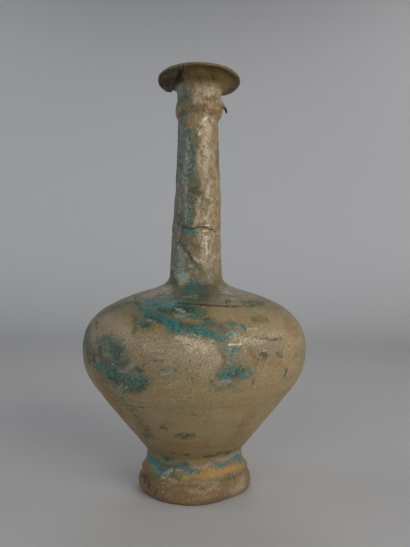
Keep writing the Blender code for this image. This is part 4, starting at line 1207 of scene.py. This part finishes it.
def glazed_surface():
    g = Graph("crusted_glaze")
    split = g.nodes.new("ShaderNodeSeparateXYZ")
    g.put(split.inputs[0], g.place)
    height = split.outputs[2]

    broad = g.noise(0.034, 4, 0.55, at=3.1)
    blotch = g.noise(0.0085, 5, 0.62, at=7.7)
    patch = g.noise(0.0032, 4, 0.65, at=12.4)
    grain = g.noise(0.00095, 3, 0.7, at=1.9)
    fine = g.noise(0.00042, 2, 0.7, at=5.3)
    turning = g.noise(0.0013, 3, 0.6, at=2.2, stretch=(22, 22, 1))
    sand, sand_gap = g.cells(0.0008, at=4.4)
    speck = g.step(g.calc('ADD', g.calc('MULTIPLY', grain, 0.65), g.calc('MULTIPLY', fine, 0.35)), 0.36, 0.64)
    edge = g.calc('ADD', g.calc('MULTIPLY', g.step(patch, 0.30, 0.70), 0.40), g.calc('MULTIPLY', speck, 0.60))

    # The buff crust, by height
    wobble = g.calc('MULTIPLY', g.calc('SUBTRACT', blotch, 0.5), 0.010)
    at = g.calc('DIVIDE', g.calc('ADD', height, wobble), HEIGHT)
    stops = [(0.000, (106, 84, 62)), (0.030, (112, 90, 66)), (0.045, (116, 94, 64)), (0.062, (120, 102, 66)),
             (0.085, (118, 102, 68)), (0.110, (126, 108, 73)), (0.170, (144, 125, 90)), (0.240, (152, 133, 99)),
             (0.300, (130, 116, 87)), (0.345, (127, 114, 88)), (0.400, (134, 120, 92)), (0.430, (120, 107, 79)),
             (0.462, (108, 97, 70)), (0.490, (103, 93, 66)), (0.512, (106, 96, 70)), (0.550, (132, 118, 92)),
             (0.620, (136, 122, 97)), (0.760, (138, 124, 99)), (0.860, (144, 128, 100)), (0.912, (128, 110, 80)),
             (0.925, (112, 92, 60)), (0.940, (126, 108, 78)), (0.952, (136, 120, 92)), (0.970, (124, 104, 70)),
             (0.980, (116, 92, 52)), (0.991, (112, 88, 46))]
    colour = g.ramp(at, stops)

    # Broad tones and mottling of the crust
    def tone(name, share, low, high, centre=0.36, soft=0.34, amount=0.7, noise=None):
        cover = g.calc('MULTIPLY', g.fray(g.field(name), edge, amount, centre, soft), share)
        return g.mix(cover, colour, g.mix(blotch if noise is None else noise, low, high))

    colour = tone("khaki", 0.85, (132, 113, 78), (158, 138, 100))
    colour = tone("rose", 0.85, (136, 119, 96), (164, 147, 122))
    colour = g.mix(g.step(broad, 0.40, 0.66, 0.0, 0.26), colour, (112, 108, 84))
    colour = g.mix(g.step(blotch, 0.50, 0.72, 0.0, 0.30), colour, (104, 92, 66))
    colour = g.mix(g.step(blotch, 0.46, 0.26, 0.0, 0.30), colour, (168, 150, 120))
    colour = g.mix(g.step(turning, 0.54, 0.74, 0.0, 0.26), colour, (92, 82, 56))
    fleck = g.step(g.calc('ADD', g.calc('MULTIPLY', patch, 0.6), g.calc('MULTIPLY', fine, 0.4)), 0.60, 0.67)
    colour = g.mix(g.calc('MULTIPLY', fleck, 0.45), colour, (74, 92, 72))
    colour = g.mix(g.step(patch, 0.42, 0.30, 0.0, 0.40), colour, (118, 94, 58))

    # The neck's crust is patchier, with thin brown and greenish places and thick light ones
    on_neck = g.calc('MULTIPLY', g.step(height, 0.138, 0.150), g.step(height, 0.275, 0.262))
    lumps = g.noise(0.0064, 3, 0.5, at=21.3, stretch=(1, 1, 1.5))
    small = g.noise(0.0030, 3, 0.55, at=33.7, stretch=(1, 1, 1.25))
    streak = g.noise(0.0022, 2, 0.5, at=41.9, stretch=(1, 1, 4))
    colour = g.mix(g.calc('MULTIPLY', on_neck, g.step(lumps, 0.46, 0.66, 0.0, 0.70)), colour, (106, 92, 58))
    colour = g.mix(g.calc('MULTIPLY', on_neck, g.step(lumps, 0.52, 0.34, 0.0, 0.55)), colour, (160, 147, 122))
    colour = g.mix(g.calc('MULTIPLY', on_neck, g.step(streak, 0.50, 0.68, 0.0, 0.50)), colour, (112, 102, 70))
    colour = g.mix(g.calc('MULTIPLY', on_neck, g.step(small, 0.48, 0.64, 0.0, 0.75)), colour, (96, 78, 44))
    colour = g.mix(g.calc('MULTIPLY', on_neck, g.step(small, 0.50, 0.32, 0.0, 0.50)), colour, (176, 164, 140))
    colour = g.mix(g.calc('MULTIPLY', on_neck, g.step(broad, 0.50, 0.64, 0.0, 0.50)), colour, (132, 108, 72))

    # Stains, painted shade and highlights, and the decayed glaze under and between the crust
    colour = tone("halo", 0.85, (70, 82, 66), (98, 104, 82), centre=0.42, soft=0.36, amount=1.0)
    colour = tone("cool", 0.90, (54, 64, 54), (86, 91, 77))
    bare = g.calc('MULTIPLY', on_neck, g.step(g.field("cool"), 0.3, 0.8))
    colour = g.mix(g.calc('MULTIPLY', bare, g.step(small, 0.46, 0.64, 0.0, 0.6)), colour, (62, 64, 44))
    colour = g.mix(g.calc('MULTIPLY', bare, g.step(streak, 0.50, 0.34, 0.0, 0.5)), colour, (100, 106, 94))
    colour = tone("ochre", 0.85, (112, 88, 48), (146, 116, 70), centre=0.38, soft=0.28, amount=0.9)
    colour = tone("gold", 0.85, (118, 112, 56), (146, 134, 74), centre=0.38, soft=0.26, amount=0.9)
    colour = tone("amber", 0.95, (130, 99, 46), (156, 121, 64), centre=0.40, soft=0.24, amount=0.8)
    # Brown stains. The same tone also paints shade under the lip, on the top of the collar, and in the crease at the
    # foot of the neck
    colour = tone("brown", 0.85, (84, 66, 38), (116, 94, 60), centre=0.40, soft=0.34, amount=0.9)
    colour = tone("moss", 0.85, (66, 68, 40), (100, 100, 62), centre=0.38, soft=0.28, amount=1.0)
    # Rust-brown stains. The same tone also paints shade in the crease where the neck meets the shoulder
    colour = tone("rust_and_shade", 0.85, (98, 62, 40), (140, 96, 66), centre=0.38, soft=0.26, amount=0.9)
    # Umber stains. The same tone also paints the lip's shadow on the collar beside the crack
    colour = tone("umber", 0.92, (30, 20, 12), (60, 44, 28), centre=0.40, soft=0.30, amount=0.8)
    # Cream crust. The same tone also paints sheen and highlights on the belly's front, the collar's right and the lit
    # side of the neck
    colour = tone("pale", 0.85, (158, 145, 118), (184, 170, 142), centre=0.42, soft=0.36, amount=1.0)
    teal = g.fray(g.field("teal"), edge, 1.25, 0.38, 0.34)
    through = g.step(speck, 0.20, 0.75, 0.55, 1.0)
    colour = g.mix(g.calc('MULTIPLY', g.calc('MULTIPLY', teal, 0.95), through), colour, g.mix(g.step(edge, 0.25, 0.75), (36, 66, 60), (80, 108, 96)))
    net = g.noise(0.0015, 2, 0.6, at=17.3)
    colour = g.mix(g.calc('MULTIPLY', teal, g.step(net, 0.53, 0.63, 0.0, 0.58)), colour, (30, 50, 44))
    colour = g.mix(g.calc('MULTIPLY', teal, g.step(net, 0.47, 0.37, 0.0, 0.55)), colour, (102, 124, 110))
    pine = g.fray(g.field("pine"), edge, 1.20, 0.46, 0.30)
    colour = g.mix(g.calc('MULTIPLY', pine, 0.90), colour, g.mix(g.step(patch, 0.34, 0.64), (28, 46, 32), (58, 80, 60)))
    turq = g.fray(g.field("turq"), edge, 1.0, 0.42, 0.26)
    turq_colour = g.mix(g.step(edge, 0.25, 0.75), (30, 80, 84), (58, 112, 112))
    colour = g.mix(g.calc('MULTIPLY', turq, g.step(speck, 0.20, 0.75, 0.72, 1.0)), colour, turq_colour)
    colour = g.mix(g.fray(g.field("cobalt"), edge, 1.0, 0.44, 0.2), colour, g.mix(grain, (24, 62, 100), (48, 100, 120)))
    ash = g.fray(g.field("ash"), edge, 1.0, 0.44, 0.24)
    colour = g.mix(g.calc('MULTIPLY', ash, 0.85), colour, g.mix(grain, (104, 106, 98), (138, 140, 132)))
    mint = g.fray(g.field("mint"), edge, 1.0, 0.44, 0.24)
    colour = g.mix(g.calc('MULTIPLY', mint, 0.85), colour, g.mix(grain, (108, 124, 106), (146, 160, 140)))
    # Dark specks and stains. The same tone also paints shade under the lip's edge and where the lip meets the collar
    colour = tone("soot_and_shade", 0.85, (44, 40, 26), (68, 60, 40), centre=0.42, soft=0.26, amount=0.9)
    # Dark lines and the edges of the crack. The same mark also paints the lip's shadow on the collar beside the crack
    dark = g.fray(g.field("dark"), edge, 0.8, 0.58, 0.28)
    colour = g.mix(g.calc('MULTIPLY', dark, 0.85), colour, (32, 32, 22))
    split_line = g.fray(g.field("crack"), grain, 0.35, 0.62, 0.22)
    colour = g.mix(g.calc('MULTIPLY', split_line, 0.96), colour, (18, 26, 26))
    broken_edge = g.fray(g.field("crust_edge"), edge, 0.9, 0.42, 0.24)
    colour = g.mix(g.calc('MULTIPLY', broken_edge, 0.9), colour, (40, 48, 34))
    # Painted highlights: near-white glints and a streak on the lit side of the neck. The same mark also makes a pale
    # scratch across the belly
    scratch_and_glint = g.fray(g.field("scratch_and_glint"), grain, 0.8, 0.44, 0.26)
    colour = g.mix(g.calc('MULTIPLY', scratch_and_glint, 0.75), colour, (216, 204, 178))
    colour = g.mix(g.fray(g.field("paste"), grain, 0.7, 0.42, 0.2), colour, g.mix(grain, (92, 78, 54), (130, 110, 80)))
    colour = g.mix(g.calc('MULTIPLY', g.step(g.field("pit"), 0.25, 0.75), 0.55), colour, (62, 54, 36))
    colour = g.mix(g.fray(g.field("thorn"), grain, 0.4, 0.45, 0.15), colour, (24, 50, 48))

    # Sides that the photograph doesn't show
    colour = g.mix(g.field("lip_top"), colour, g.mix(g.step(blotch, 0.40, 0.60), (104, 92, 64), (138, 124, 96)))
    colour = g.mix(g.calc('MULTIPLY', g.field("lip_top"), g.step(g.calc('ADD', patch, broad), 1.02, 1.12)), colour,
                   turq_colour)
    colour = g.mix(g.field("under"), colour, g.mix(blotch, (104, 82, 60), (136, 112, 84)))
    colour = g.mix(g.field("inside"), colour, g.mix(blotch, (98, 78, 56), (130, 104, 78)))

    # Grains, light and dark, strongest on the sandy belly and the gritty foot
    sandy = g.ramp(g.calc('DIVIDE', height, HEIGHT),
                   [(0.0, (0.85,) * 3 + (1,)), (0.045, (0.7,) * 3 + (1,)), (0.09, (0.55,) * 3 + (1,)), (0.20, (0.40,) * 3 + (1,)),
                    (0.28, (0.75,) * 3 + (1,)), (0.34, (1.0,) * 3 + (1,)), (0.40, (0.9,) * 3 + (1,)), (0.45, (0.55,) * 3 + (1,)),
                    (0.52, (0.6,) * 3 + (1,)), (0.60, (0.85,) * 3 + (1,)), (0.9, (0.7,) * 3 + (1,)), (1.0, (0.6,) * 3 + (1,))])
    grey = g.nodes.new("ShaderNodeRGBToBW")
    g.put(grey.inputs[0], sandy)
    strength = grey.outputs[0]
    colour = g.mix(strength, colour, g.ramp(grain, [(0.30, (0.66, 0.66, 0.66, 1)), (0.50, (1, 1, 1, 1)), (0.72, (1.36, 1.34, 1.30, 1))]), 'MULTIPLY')
    colour = g.mix(strength, colour, g.ramp(fine, [(0.28, (0.74, 0.74, 0.74, 1)), (0.50, (1, 1, 1, 1)), (0.74, (1.30, 1.30, 1.28, 1))]), 'MULTIPLY')
    colour = g.mix(g.calc('MULTIPLY', g.step(sand, 0.965, 0.985, 0.0, 0.40), strength), colour, (196, 182, 152))
    colour = g.mix(g.calc('MULTIPLY', g.step(sand, 0.060, 0.030, 0.0, 0.45), strength), colour, (54, 50, 36))
    g.put(g.shader.inputs["Base Color"], colour)

    # Glassy where the glaze shows, matt where the crust is thick
    glassy = g.calc('MAXIMUM', g.calc('MAXIMUM', turq, g.calc('MULTIPLY', teal, 0.6)), g.calc('MAXIMUM', scratch_and_glint, g.calc('MULTIPLY', mint, 0.5)))
    worn = g.step(g.calc('ADD', g.calc('MULTIPLY', patch, 0.5), g.calc('MULTIPLY', grain, 0.5)), 0.42, 0.62, 0.46, 0.76)
    rough = g.calc('SUBTRACT', worn, g.calc('MULTIPLY', glassy, 0.16))
    raw = g.calc('MAXIMUM', g.calc('MAXIMUM', g.field("under"), g.field("inside")), g.step(height, 0.013, 0.010))
    rough = g.calc('SUBTRACT', rough, g.calc('MULTIPLY', on_neck, g.step(small, 0.54, 0.42, 0.06, 0.24)))
    g.put(g.shader.inputs["Roughness"], g.calc('ADD', rough, g.calc('MULTIPLY', raw, 0.22)))
    g.shader.inputs["Specular IOR Level"].default_value = 0.36

    # Fine relief below the size of the mesh
    bump_height = g.calc('ADD', g.calc('MULTIPLY', grain, 0.00020), g.calc('MULTIPLY', fine, 0.00008))
    bump_height = g.calc('MULTIPLY', bump_height, strength)
    bump_height = g.calc('ADD', bump_height, g.calc('MULTIPLY', g.step(sand_gap, 0.15, 0.6), -0.00004))
    bump_height = g.calc('ADD', bump_height, g.calc('MULTIPLY', turning, 0.00010))
    bump_height = g.calc('SUBTRACT', bump_height, g.calc('MULTIPLY', g.calc('MAXIMUM', teal, turq), 0.00010))
    uneven = g.calc('MULTIPLY', g.calc('ADD', g.calc('MULTIPLY', lumps, 0.5), small), on_neck)
    bump_height = g.calc('SUBTRACT', bump_height, g.calc('MULTIPLY', uneven, 0.00075))
    bump = g.nodes.new("ShaderNodeBump")
    bump.inputs["Strength"].default_value = 0.8
    bump.inputs["Distance"].default_value = 1.0
    g.put(bump.inputs["Height"], bump_height)
    g.put(g.shader.inputs["Normal"], bump.outputs[0])
    return g.material


# ---------------------------------------------------------------- floor, light and camera

def stage_mesh():
    """A round floor that turns up into a wall all the way round."""
    profile = [(0.0, 0.0), (0.5, 0.0), (1.1, 0.0)]
    for i in range(1, 17):
        a = math.pi / 2 * i / 16
        profile.append((1.1 + 1.1 * math.sin(a), 1.1 - 1.1 * math.cos(a)))
    profile += [(2.2, 2.4)]
    count = 96
    places, faces = [(0.0, 0.0, 0.0)], []
    for r, z in profile[1:]:
        places += [(r * math.cos(2 * math.pi * k / count), r * math.sin(2 * math.pi * k / count), z) for k in range(count)]
    for k in range(count):
        faces.append((0, 1 + k, 1 + (k + 1) % count))
    for i in range(len(profile) - 2):
        a, b = 1 + i * count, 1 + (i + 1) * count
        for k in range(count):
            m = (k + 1) % count
            faces.append((a + k, b + k, b + m, a + m))
    mesh = bpy.data.meshes.new("floor")
    mesh.from_pydata(places, [], faces)
    mesh.update()
    mesh.shade_smooth()
    obj = bpy.data.objects.new("floor", mesh)
    bpy.context.scene.collection.objects.link(obj)
    g = Graph("pale_floor")
    g.shader.inputs["Base Color"].default_value = srgb(184, 184, 185)
    g.shader.inputs["Roughness"].default_value = 0.8
    g.shader.inputs["Specular IOR Level"].default_value = 0.2
    mesh.materials.append(g.material)


def lamp(name, place, target, size, power, colour, spread=100.0):
    data = bpy.data.lights.new(name, 'AREA')
    data.shape = 'DISK'
    data.spread = math.radians(spread)
    data.size = size
    data.energy = power
    data.color = colour
    obj = bpy.data.objects.new(name, data)
    bpy.context.scene.collection.objects.link(obj)
    obj.location = place
    obj.rotation_euler = (Vector(target) - Vector(place)).to_track_quat('-Z', 'Y').to_euler()
    obj.visible_camera = False


def spot(name, place, target, power, colour):
    """Lights the wall behind and not the vase."""
    data = bpy.data.lights.new(name, 'SPOT')
    data.spot_size = math.radians(100.0)
    data.spot_blend = 1.0
    data.shadow_soft_size = 0.2
    data.energy = power
    data.color = colour
    obj = bpy.data.objects.new(name, data)
    bpy.context.scene.collection.objects.link(obj)
    obj.location = place
    obj.rotation_euler = (Vector(target) - Vector(place)).to_track_quat('-Z', 'Y').to_euler()
    obj.visible_camera = False


def light_and_camera():
    lamp("key", (1.10, -1.20, 0.50), (0, 0, 0.12), 1.25, 7.7, (1.0, 0.955, 0.90))
    lamp("fill", (-0.75, -1.65, 0.50), (0, 0, 0.12), 1.5, 4.1, (0.95, 0.98, 1.0))
    lamp("left", (-1.85, 0.15, 0.30), (0, 0, 0.10), 1.1, 4.8, (0.95, 0.975, 1.0))
    lamp("right", (1.85, 0.30, 0.30), (0, 0, 0.10), 1.1, 4.8, (1.0, 0.98, 0.96))
    lamp("back", (0.0, 1.55, 1.20), (0, 0, 0.10), 1.0, 1.2, (0.98, 0.99, 1.0), 80.0)
    spot("wall_right", (1.30, 0.35, 1.60), (0.75, 2.2, 0.60), 66.0, (1.0, 0.985, 1.0))
    spot("wall_left", (-1.30, 0.35, 1.60), (-0.75, 2.2, 0.60), 43.0, (0.86, 0.94, 1.0))
    spot("wall_near_right", (1.30, -0.35, 1.60), (0.75, -2.2, 0.60), 46.0, (1.0, 0.985, 1.0))
    spot("wall_near_left", (-1.30, -0.35, 1.60), (-0.75, -2.2, 0.60), 46.0, (0.94, 0.97, 1.0))
    world = bpy.data.worlds.new("studio")
    bpy.context.scene.world = world
    world.use_nodes = True
    back = world.node_tree.nodes["Background"]
    back.inputs["Color"].default_value = (0.94, 0.97, 1.0, 1.0)
    back.inputs["Strength"].default_value = 0.15

    data = bpy.data.cameras.new("camera")
    data.sensor_fit = 'VERTICAL'
    data.sensor_height = 36.0
    data.lens = FOCAL / FRAME_H * 36.0
    data.clip_start = 0.01
    camera = bpy.data.objects.new("camera", data)
    bpy.context.scene.collection.objects.link(camera)
    camera.location = CAMERA
    camera.rotation_euler = (math.pi / 2 + PITCH, 0.0, 0.0)
    bpy.context.scene.camera = camera
    bpy.context.scene.view_settings.view_transform = 'Standard'


vase = build_vase()
paint(vase)
vase.data.materials.clear()
vase.data.materials.append(glazed_surface())
vase.data.shade_smooth()
vase.data.set_sharp_from_angle(angle=math.radians(50.0))

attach(vase, "root")
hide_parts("vase")

stage_mesh()
light_and_camera()
